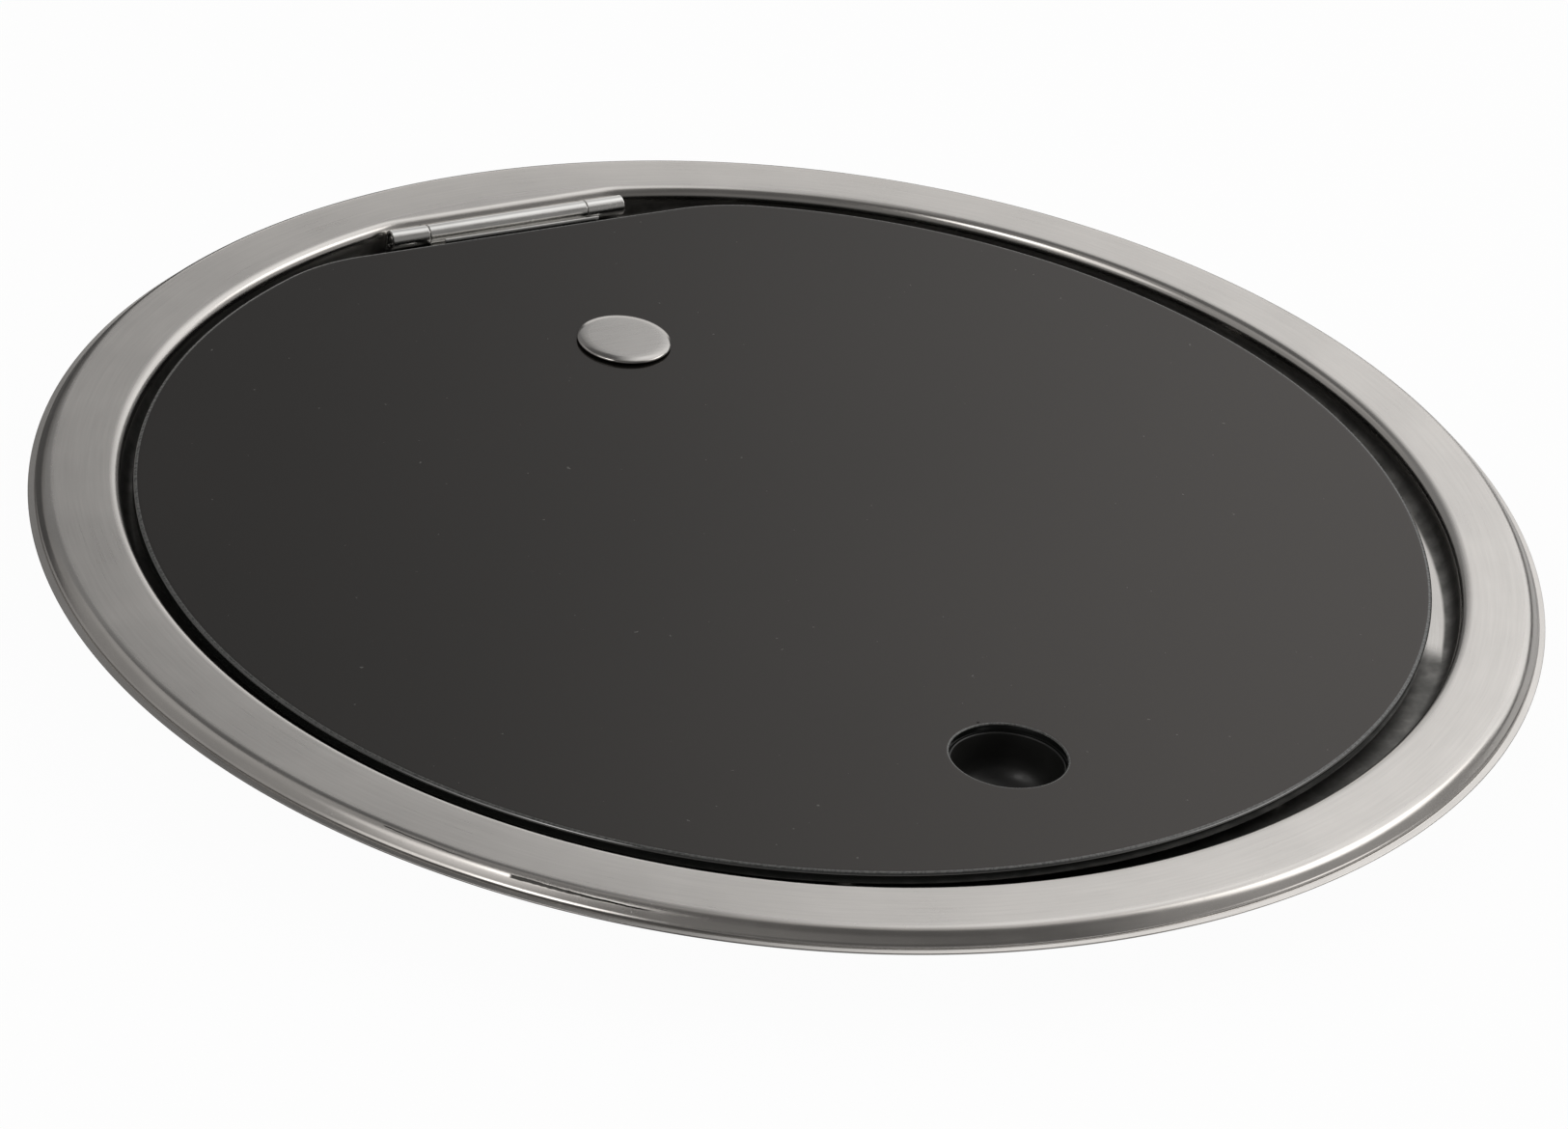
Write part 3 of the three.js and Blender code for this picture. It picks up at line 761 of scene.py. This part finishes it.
# thin lip that stands just behind the glass, parallel to its edge
lip = [(178.95, LEAF_TOP - 0.3), (178.95, GLASS_TOP + 0.12), (178.86, GLASS_TOP + 0.26), (178.66, GLASS_TOP + 0.34),
       (178.44, GLASS_TOP + 0.32), (178.3, GLASS_TOP + 0.2), (178.25, GLASS_TOP), (178.25, LEAF_TOP - 0.3)]
lip_bar = along_x(None, lip, ends(-SPLIT + 0.3, SPLIT - 1.1), "lid", [])
lip_bar.data.transform(Matrix.Rotation(LID_TURN, 4, "Z"))
half = SPLIT
pts = [(half, 180.0), (-half, 180.0)]
for k in range(49):
    a = math.pi + math.pi * k / 48
    pts.append((half * math.cos(a), 112.0 + half * math.sin(a)))


def inset_outline(points, d):
    n = len(points)
    out = []
    for k in range(n):
        a, b, c = Vector(points[k - 1]), Vector(points[k]), Vector(points[(k + 1) % n])
        t1, t2 = (b - a).normalized(), (c - b).normalized()
        nn = Vector((-(t1.y + t2.y), t1.x + t2.x)).normalized()
        cosh = max(0.3, nn.dot(Vector((-t1.y, t1.x))))
        out.append((b.x + nn.x * d / cosh, b.y + nn.y * d / cosh))
    return out


area = sum(pts[k][0] * pts[(k + 1) % len(pts)][1] - pts[(k + 1) % len(pts)][0] * pts[k][1] for k in range(len(pts)))
if area < 0:
    pts.reverse()
zb, zt = HINGE_Z - KR, LEAF_TOP
leaf_rings = [
    (inset_outline(pts, 0.5), zt), (inset_outline(pts, 0.15), zt), (inset_outline(pts, 0.03), zt - 0.05), (pts, zt - 0.16),
    (pts, zb + 0.16), (inset_outline(pts, 0.03), zb + 0.05), (inset_outline(pts, 0.15), zb), (inset_outline(pts, 0.5), zb),
]
leaf = plate("lid_leaf", leaf_rings, [((0, CAP_Y), [(3.6, zt), (3.3, zt - 0.1), (3.3, zb + 0.1), (3.6, zb)], 48)], "lid", [HINGE_STEEL], ("hinge_lid_leaf",))
join(leaf, [knuckle, lip_bar])

# outer knuckles: strips that rise from the fixed leaf behind the barrel and roll over it to the front
fz0, fz1 = LEDGE + 0.04, -1.0
fy = HINGE_Y + KR
sheets = []
for s in (-1, 1):
    x0, x1 = (-BARREL_HALF, -SPLIT - 0.22) if s < 0 else (SPLIT + 0.22, BARREL_HALF)
    o, i = rolled(0, 296, KR, TH, 60)
    outline = [(fy, fz1 - 0.3)] + o + list(reversed(i)) + [(fy - TH, fz1 - 0.3)]
    sheets.append(along_x(None, outline, ends(x0, x1), "frame", []))
fp = [(BARREL_HALF, fy), (-BARREL_HALF, fy), (-BARREL_HALF, 172.6), (-BARREL_HALF + 1.6, 171.0), (BARREL_HALF - 1.6, 171.0), (BARREL_HALF, 172.6)]
area = sum(fp[k][0] * fp[(k + 1) % len(fp)][1] - fp[(k + 1) % len(fp)][0] * fp[k][1] for k in range(len(fp)))
if area < 0:
    fp.reverse()
fixed_rings = [
    (inset_outline(fp, 0.5), fz1), (inset_outline(fp, 0.15), fz1), (inset_outline(fp, 0.03), fz1 - 0.05), (fp, fz1 - 0.16),
    (fp, fz0 + 0.16), (inset_outline(fp, 0.03), fz0 + 0.05), (inset_outline(fp, 0.15), fz0), (inset_outline(fp, 0.5), fz0),
]
fixed = plate("fixed_leaf", fixed_rings, [(c, [(1.85, fz1), (1.7, fz1 - 0.1), (1.7, fz0 + 0.1), (1.85, fz0)], 32) for _, c in rivets], "frame", [HINGE_STEEL], ("hinge_fixed_leaf",))
join(fixed, sheets)

# pin, with a slightly domed end
pr = 1.5
pin_stations = [(-BARREL_HALF + 0.25, 0.55), (-BARREL_HALF + 0.32, 0.3), (-BARREL_HALF + 0.5, 0.1), (-BARREL_HALF + 0.8, 0.0),
                (BARREL_HALF - 0.8, 0.0), (BARREL_HALF - 0.5, 0.1), (BARREL_HALF - 0.32, 0.3), (BARREL_HALF - 0.25, 0.55)]
outline = [(HINGE_Y + pr * math.cos(2 * math.pi * k / 40), HINGE_Z + pr * math.sin(2 * math.pi * k / 40)) for k in range(40)]
along_x("pin", outline, pin_stations, "frame", [BRIGHT_STEEL], ("hinge_pin",))

for k, (n, c) in enumerate(rivets):
    prof = [(0, -4.95), (1.2, -4.93), (2.2, -4.8), (2.8, -4.5), (3.0, -4.1), (3.0, -3.94), (1.6, -3.94), (1.6, -0.97),
            (3.1, -0.97), (3.2, -0.85), (3.05, -0.6), (2.5, -0.35), (1.6, -0.17), (0.8, -0.1), (0, -0.08)]
    turned("rivet_%d" % (k + 1), prof, 40, c, "frame", [BRIGHT_STEEL], (n,), 40.0)

# ------------------------------------------------------------------ lid
N_ARC, N_COR, N_FLAT = 288, 36, 24


# the lid sits a little to one side in its recess
SHIFT = (-1.75, 0.75)




def glass_ring(d, z):
    """Outline of the glass, d inside its edge: straight along the hinge, blended into the round by a large radius."""
    pts = d_outline(GLASS_R - 0.2 - d, GLASS_FLAT + 1.4 - d, 62.0 - d * 0.5, N_ARC, N_COR, N_FLAT, *SHIFT)
    ca, sa = math.cos(LID_TURN), math.sin(LID_TURN)
    return [(x * ca - y * sa, x * sa + y * ca) for x, y in pts], z


T, B = GLASS_TOP, GLASS_BOT


def arris(size, drop):
    """Half of an edge: a flat support line, then a rounded arris that runs into the wall."""
    half = [(size + 1.0, 0.0), (size, 0.0)]
    for k in range(1, 8):
        q = math.radians(90 * k / 8)
        half.append((size * (1 - math.sin(q)), drop * (1 - math.cos(q))))
    half.append((0.0, drop))
    return half


def edge_profile(size, drop):
    top = arris(size, drop)
    return [(d, T - z) for d, z in top] + [(d, B + z) for d, z in reversed(top)]


rings = [glass_ring(d, z) for d, z in edge_profile(1.15, 1.0)]
finger_hole = ((0, FINGER_Y), [(FINGER_R + d, z) for d, z in edge_profile(0.62, 0.5)], 128)
bolt_hole = ((0, CAP_Y), [(6.4, T), (6.0, T - 0.3), (6.0, B + 0.3), (6.4, B)], 48)
glass = plate("glass_lid", rings, [finger_hole, bolt_hole], "lid", [GLASS, GLASS_EDGE, GLASS_ARRIS], ("lid_glass",), 24.0)
for p in glass.data.polygons:
    zs = [glass.data.vertices[v].co.z * 1000.0 - DECK for v in p.vertices]
    mid = sum(zs) / len(zs)
    cx, cy = p.center.x * 1000.0, p.center.y * 1000.0
    in_hole = math.hypot(cx, cy - FINGER_Y) < FINGER_R + 0.8
    if max(zs) < B + 0.001 or min(zs) > T - 0.001:
        continue
    depth = T - mid
    if in_hole:
        p.material_index = 2 if depth < 0.42 else 1
    else:
        p.material_index = 2 if depth < 0.30 else 1

pad = [(24.0, 174.0), (-24.0, 174.0)]
for k in range(37):
    a = math.pi + math.pi * k / 36
    pad.append((24.0 * math.cos(a), 112.0 + 24.0 * math.sin(a)))
area = sum(pad[k][0] * pad[(k + 1) % len(pad)][1] - pad[(k + 1) % len(pad)][0] * pad[k][1] for k in range(len(pad)))
if area < 0:
    pad.reverse()
pz0, pz1 = LEAF_TOP + 0.02, GLASS_BOT - 0.02
plate("leaf_tape", [(inset_outline(pad, 0.3), pz1), (pad, pz1 - 0.02), (pad, pz0 + 0.02), (inset_outline(pad, 0.3), pz0)],
      [((0, CAP_Y), [(6.8, pz1), (6.6, pz1 - 0.02), (6.6, pz0 + 0.02), (6.8, pz0)], 40)], "lid", [TAPE], ("leaf_pad",))

# cap: low dome, polished rolled edge, stud below
G = GLASS_TOP
cap_prof = [(0, -8.2), (2.0, -8.2), (2.5, -7.9)]
zt = -7.7
while zt < 1.0:
    cap_prof += [(2.55, zt + 0.1), (2.9, zt + 0.42), (2.9, zt + 0.5), (2.55, zt + 0.84)]
    zt += 0.9
cap_prof += [(2.9, 2.2), (2.9, G + 0.3), (CAP_R - 0.9, G + 0.3), (CAP_R - 0.35, G + 0.36), (CAP_R - 0.08, G + 0.55), (CAP_R, G + 0.85),
             (CAP_R - 0.09, G + 1.08), (CAP_R - 0.34, G + 1.31), (CAP_R - 0.8, G + 1.54), (CAP_R - 1.4, G + 1.74), (CAP_R - 2.1, G + 1.90),
             (CAP_R - 2.8, G + 2.01), (CAP_R - 3.4, G + 2.06), (CAP_R - 5, G + 2.12), (CAP_R - 7, G + 2.17), (CAP_R - 10, G + 2.23), (2.0, G + 2.27), (0, G + 2.28)]
turned("clamp_cap", cap_prof, 128, (0, CAP_Y), "lid", [CAP_STEEL], ("bolt_cap",), 40.0)
turned("cap_ring_gasket", rounded([(4.0, G + 0.02, 0.05), (12.9, G + 0.02, 0.1), (12.9, G + 0.29, 0.1), (4.0, G + 0.29, 0.05)], 3), 96, (0, CAP_Y),
       "lid", [RUBBER], ("cap_gasket",), closed=True)
turned("bush", rounded([(3.1, B + 0.05, 0.2), (5.85, B + 0.05, 0.3), (5.85, T - 0.05, 0.3), (3.1, T - 0.05, 0.2)], 3), 64, (0, CAP_Y),
       "lid", [NYLON], ("glass_bush",), closed=True)
w_lo, w_hi = node_box("leaf_washer")
turned("plain_washer", rounded([(3.2, w_lo[2], 0.12), (9.0, w_lo[2], 0.3), (9.0, w_hi[2], 0.3), (3.2, w_hi[2], 0.12)], 4), 96, (0, CAP_Y),
       "lid", [BRIGHT_STEEL], ("leaf_washer",), closed=True)
# split spring washer: a square wire with its ends a little apart in height
s_lo, s_hi = node_box("lock_washer")
verts = []
SW = 90
for k in range(SW + 1):
    t = k / SW
    a = math.radians(6) + t * math.radians(348)
    dz = (t - 0.5) * 0.24
    for rr, z in ((3.2, s_lo[2] + 0.15), (5.6, s_lo[2] + 0.15), (5.6, s_hi[2] - 0.15), (3.2, s_hi[2] - 0.15)):
        verts.append((rr * math.cos(a), CAP_Y + rr * math.sin(a), z + dz))
faces = grid_faces(SW + 1, 4, False, True) + [(0, 1, 2, 3), (SW * 4 + 3, SW * 4 + 2, SW * 4 + 1, SW * 4)]
finish_mesh("spring_washer", verts, faces, "lid", [BRIGHT_STEEL], ("lock_washer",))
n_lo, n_hi = node_box("dome_nut")
nt, nb = n_hi[2], n_lo[2]
nut_prof = [(0, nt - 6.6), (2.3, nt - 6.6), (3.05, nt - 6.0), (3.05, nt - 0.3), (3.35, nt), (4.9, nt), (5.4, nt - 0.12), (5.9, nt - 0.42),
            (5.9, nt - 4.55), (5.5, nt - 4.85), (5.0, nt - 5.0), (4.72, nt - 5.05), (4.7, nt - 5.6), (4.45, nt - 6.3), (3.95, nt - 7.0), (3.1, nt - 7.6),
            (2.0, nt - 8.0), (1.0, nt - 8.17), (0, nb)]
turned("cap_nut", nut_prof, 120, (0, CAP_Y), "lid", [BRIGHT_STEEL], ("dome_nut",), 25.0, hexagon=(5.0, 4.75))

# finger cup: glossy bowl with a broad flange bonded under the glass
cup_ctrl = [
    (0, -13.5), (6, -13.45), (10.0, -13.0), (13.2, -11.8), (15.6, -9.8), (17.0, -7.2), (17.4, -4.6), (17.4, 0.0), (17.7, 0.28),
    (25.2, 0.3), (25.45, 0.42), (25.5, 0.7), (25.5, 1.3), (25.35, 1.47), (25.1, 1.5), (17.4, 1.5), (16.9, 1.6), (16.7, 1.85), (16.7, 3.25),
    (16.66, 3.4), (16.5, 3.48), (16.3, 3.45), (16.15, 3.3), (16.08, 3.0), (16.0, 0.0), (15.95, -4.2), (15.4, -6.6), (14.2, -8.8), (12.2, -10.5),
    (9.4, -11.6), (6.0, -12.0), (3.0, -12.1), (0, -12.1)]
turned("cup", cup_ctrl, 128, (0, FINGER_Y), "lid", [CUP_BLACK], ("finger_cup",), 40.0)
turned("cup_tape", rounded([(21.8, 1.53, 0.1), (25.2, 1.53, 0.1), (25.2, 1.97, 0.1), (21.8, 1.97, 0.1)], 3), 128, (0, FINGER_Y), "lid", [TAPE], ("cup_bond_ring",), closed=True)

# ------------------------------------------------------------------ stage
floor_me = bpy.data.meshes.new("floor")
S = 12.0
floor_me.from_pydata([(-S, -S, 0), (S, -S, 0), (S, S, 0), (-S, S, 0)], [], [(0, 1, 2, 3)])
floor = bpy.data.objects.new("floor", floor_me)
bpy.context.scene.collection.objects.link(floor)
floor.location = (0, 0, -0.0005)
fm = bpy.data.materials.new("floor_pale")
fm.use_nodes = True
t = fm.node_tree
t.nodes.clear()
out = t.nodes.new("ShaderNodeOutputMaterial")
diff = t.nodes.new("ShaderNodeBsdfDiffuse")
diff.inputs["Color"].default_value = (0.82, 0.815, 0.81, 1)
em = t.nodes.new("ShaderNodeEmission")
em.inputs["Color"].default_value = (1, 1, 1, 1)
em.inputs["Strength"].default_value = 1.0
lp = t.nodes.new("ShaderNodeLightPath")
fac = t.nodes.new("ShaderNodeMath")
fac.operation = "MULTIPLY"
fac.inputs[1].default_value = 0.97
t.links.new(lp.outputs["Is Camera Ray"], fac.inputs[0])
# painted reflection: for glossy rays the floor is coloured from dark on the camera's left to light on its right, so the
# steel reflects a graded floor
tone = t.nodes.new("ShaderNodeMix")
tone.data_type = "RGBA"
tone.inputs[6].default_value = (0.82, 0.815, 0.81, 1)
geo = t.nodes.new("ShaderNodeNewGeometry")
across = t.nodes.new("ShaderNodeVectorMath")
across.operation = "DOT_PRODUCT"
across.inputs[1].default_value = (0.857, -0.515, 0.0)
t.links.new(geo.outputs["Position"], across.inputs[0])
grade = t.nodes.new("ShaderNodeMapRange")
t.links.new(across.outputs["Value"], grade.inputs[0])
for i, v in ((1, -0.02), (2, 0.21), (3, 0.14), (4, 0.85)):
    grade.inputs[i].default_value = v
shade = t.nodes.new("ShaderNodeCombineColor")
for i in range(3):
    t.links.new(grade.outputs[0], shade.inputs[i])
t.links.new(shade.outputs[0], tone.inputs[7])
t.links.new(lp.outputs["Is Glossy Ray"], tone.inputs[0])
t.links.new(tone.outputs[2], diff.inputs["Color"])
mix = t.nodes.new("ShaderNodeMixShader")
t.links.new(fac.outputs[0], mix.inputs[0])
t.links.new(diff.outputs[0], mix.inputs[1])
t.links.new(em.outputs[0], mix.inputs[2])
t.links.new(mix.outputs[0], out.inputs[0])
floor_me.materials.append(fm)

# camera basis
AZ, EL, DIST, ROLL, FPX, TX, TY = -30.99, 30.40, 15.14, 7.11, 12000.0, -0.036, -0.055
a, e, ro = math.radians(AZ), math.radians(EL), math.radians(ROLL)
back = Vector((math.sin(a) * math.cos(e), -math.cos(a) * math.cos(e), math.sin(e)))
right = (-back).cross(Vector((0, 0, 1))).normalized()
up = right.cross(-back)
rx = math.cos(ro) * right + math.sin(ro) * up
ry = -math.sin(ro) * right + math.cos(ro) * up
RL = R_LIP / 1000.0
cam_data = bpy.data.cameras.new("camera")
cam = bpy.data.objects.new("camera", cam_data)
bpy.context.scene.collection.objects.link(cam)
cam_data.sensor_fit = "HORIZONTAL"
cam_data.sensor_width = 36.0
cam_data.lens = FPX / 1625.0 * 36.0
cam_data.clip_start, cam_data.clip_end = 0.05, 60.0
target = Vector((TX * RL, TY * RL, DECK / 1000.0))
rot = Matrix((rx, ry, back)).transposed()
cam.matrix_world = Matrix.Translation(target + back * (DIST * RL)) @ rot.to_4x4()
bpy.context.scene.camera = cam

flat_fwd = Vector((-back.x, -back.y, 0)).normalized()
flat_right = Vector((right.x, right.y, 0)).normalized()


def light_area(name, location, aim, size_x, size_y, power, colour=(1, 1, 1)):
    d = bpy.data.lights.new(name, "AREA")
    d.shape = "RECTANGLE"
    d.size, d.size_y = size_x, size_y
    d.energy = power
    d.color = colour
    o = bpy.data.objects.new(name, d)
    bpy.context.scene.collection.objects.link(o)
    o.location = location
    o.rotation_mode = "QUATERNION"
    o.rotation_quaternion = (Vector(aim) - Vector(location)).to_track_quat("-Z", "Y")
    o.visible_camera = False
    return o


def glow_card(name, corners, strength_node):
    me = bpy.data.meshes.new(name)
    me.from_pydata([tuple(c) for c in corners], [], [(0, 1, 2, 3)])
    uv = me.uv_layers.new(name="card")
    for i, c in enumerate(((0, 0), (1, 0), (1, 1), (0, 1))):
        uv.data[i].uv = c
    ob = bpy.data.objects.new(name, me)
    bpy.context.scene.collection.objects.link(ob)
    mat = bpy.data.materials.new(name)
    mat.use_nodes = True
    tt = mat.node_tree
    tt.nodes.clear()
    o = tt.nodes.new("ShaderNodeOutputMaterial")
    em = tt.nodes.new("ShaderNodeEmission")
    uvn = tt.nodes.new("ShaderNodeUVMap")
    uvn.uv_map = "card"
    sep = tt.nodes.new("ShaderNodeSeparateXYZ")
    tt.links.new(uvn.outputs[0], sep.inputs[0])
    tt.links.new(strength_node(tt, sep), em.inputs["Strength"])
    tt.links.new(em.outputs[0], o.inputs[0])
    me.materials.append(mat)
    ob.visible_camera = False
    ob.visible_shadow = False
    return ob


# two broad graded cards, one standing on the far side and one leaning over from it: dim on the left, bright on the right
CARD_D, CARD_W = 1.05, 1.5


def ramped(mid, slope, lo, hi, fade=1.0):
    """Brightness that rises evenly to the right; fade is the share left at the card's upper edge."""

    def build(tt, sep):
        def op(kind, a, b, c=None):
            n = tt.nodes.new("ShaderNodeMath")
            n.operation = kind
            for i, v in enumerate((a, b, c)):
                if isinstance(v, bpy.types.NodeSocket):
                    tt.links.new(v, n.inputs[i])
                elif v is not None:
                    n.inputs[i].default_value = v
            return n.outputs[0]

        v = op("MULTIPLY_ADD", sep.outputs[0], 2 * CARD_W * slope, mid - CARD_W * slope)
        v = op("MINIMUM", op("MAXIMUM", v, lo), hi)
        return op("MULTIPLY", v, op("MULTIPLY_ADD", sep.outputs[1], fade - 1.0, 1.0))

    return build


base = flat_fwd * CARD_D
corners = [base - flat_right * CARD_W + Vector((0, 0, 0.31)), base + flat_right * CARD_W + Vector((0, 0, 0.31)),
           base + flat_right * CARD_W + flat_fwd * 0.2 + Vector((0, 0, 1.5)), base - flat_right * CARD_W + flat_fwd * 0.2 + Vector((0, 0, 1.5))]
glow_card("far_card", corners, ramped(0.73, 0.84, 0.26, 1.15))
corners = [corners[3], corners[2], flat_fwd * 0.30 + flat_right * CARD_W + Vector((0, 0, 1.8)), flat_fwd * 0.30 - flat_right * CARD_W + Vector((0, 0, 1.8))]
glow_card("high_card", corners, ramped(0.66, 2.4, 0.16, 1.3, 0.7))


def aim(az, el):
    a, e = math.radians(az), math.radians(el)
    return (math.cos(a) * math.cos(e), math.sin(a) * math.cos(e), math.sin(e))


world = bpy.data.worlds.new("studio")
bpy.context.scene.world = world
world.use_nodes = True
t = world.node_tree
t.nodes.clear()
out = t.nodes.new("ShaderNodeOutputWorld")
bg = t.nodes.new("ShaderNodeBackground")
tc = t.nodes.new("ShaderNodeTexCoord")


def w_dot(v):
    n = t.nodes.new("ShaderNodeVectorMath")
    n.operation = "DOT_PRODUCT"
    n.inputs[1].default_value = v
    t.links.new(tc.outputs["Generated"], n.inputs[0])
    return n.outputs["Value"]


def w_range(v, a, b, lo, hi):
    n = t.nodes.new("ShaderNodeMapRange")
    n.interpolation_type = "SMOOTHSTEP"
    t.links.new(v, n.inputs[0])
    for i, x in ((1, a), (2, b), (3, lo), (4, hi)):
        n.inputs[i].default_value = x
    return n.outputs[0]


def w_add(a, b):
    n = t.nodes.new("ShaderNodeMath")
    n.operation = "ADD"
    t.links.new(a, n.inputs[0])
    t.links.new(b, n.inputs[1])
    return n.outputs[0]


def w_mul(a, b):
    n = t.nodes.new("ShaderNodeMath")
    n.operation = "MULTIPLY"
    t.links.new(a, n.inputs[0])
    t.links.new(b, n.inputs[1])
    return n.outputs[0]


# a strong soft light from the right, a small one from the left front, a low glow far off, little from the camera's side
far = w_dot(tuple(flat_fwd))
side = w_dot(tuple(flat_right))
height = w_dot((0, 0, 1))
glow = w_mul(w_range(far, -0.25, 0.2, 0.0, 0.45), w_range(height, 0.3, 0.6, 0.0, 1.0))
glow = w_mul(glow, w_range(side, -0.3, 0.5, 0.3, 1.5))
near = w_mul(w_range(far, -0.95, -0.6, 0.10, 0.0), w_range(height, 0.1, 0.5, 0.3, 1.0))
right_box = w_mul(w_range(w_dot(aim(-4, 38)), 0.89, 0.955, 0.0, 1.40), w_range(height, 0.36, 0.50, 0.0, 1.0))
right_low = w_range(w_dot(aim(-28, 14)), 0.70, 0.97, 0.0, 0.26)
low_patch = w_mul(w_range(w_dot(aim(58, 6)), 0.95, 0.975, 0.0, 0.8), w_range(height, 0.0, 0.03, 0.0, 1.0))
left_box = w_add(w_range(w_dot(aim(-167, 41)), 0.94, 0.98, 0.0, 0.85), w_range(w_dot(aim(-155, 48)), 0.984, 0.994, 0.0, 2.4))
left_fill = w_range(w_dot(aim(150, 15)), 0.3, 0.95, 0.0, 0.2)
total = w_add(w_add(w_add(glow, low_patch), w_add(right_box, right_low)), w_add(left_box, w_add(near, left_fill)))
base_n = t.nodes.new("ShaderNodeMath")
base_n.operation = "ADD"
base_n.inputs[1].default_value = 0.12
t.links.new(total, base_n.inputs[0])
t.links.new(base_n.outputs[0], bg.inputs["Strength"])
bg.inputs["Color"].default_value = (1, 0.985, 0.97, 1)
t.links.new(bg.outputs[0], out.inputs[0])

scene = bpy.context.scene
scene.view_settings.view_transform = "Standard"
scene.view_settings.look = "None"
scene.view_settings.exposure = 0.0
scene.view_settings.gamma = 1.0
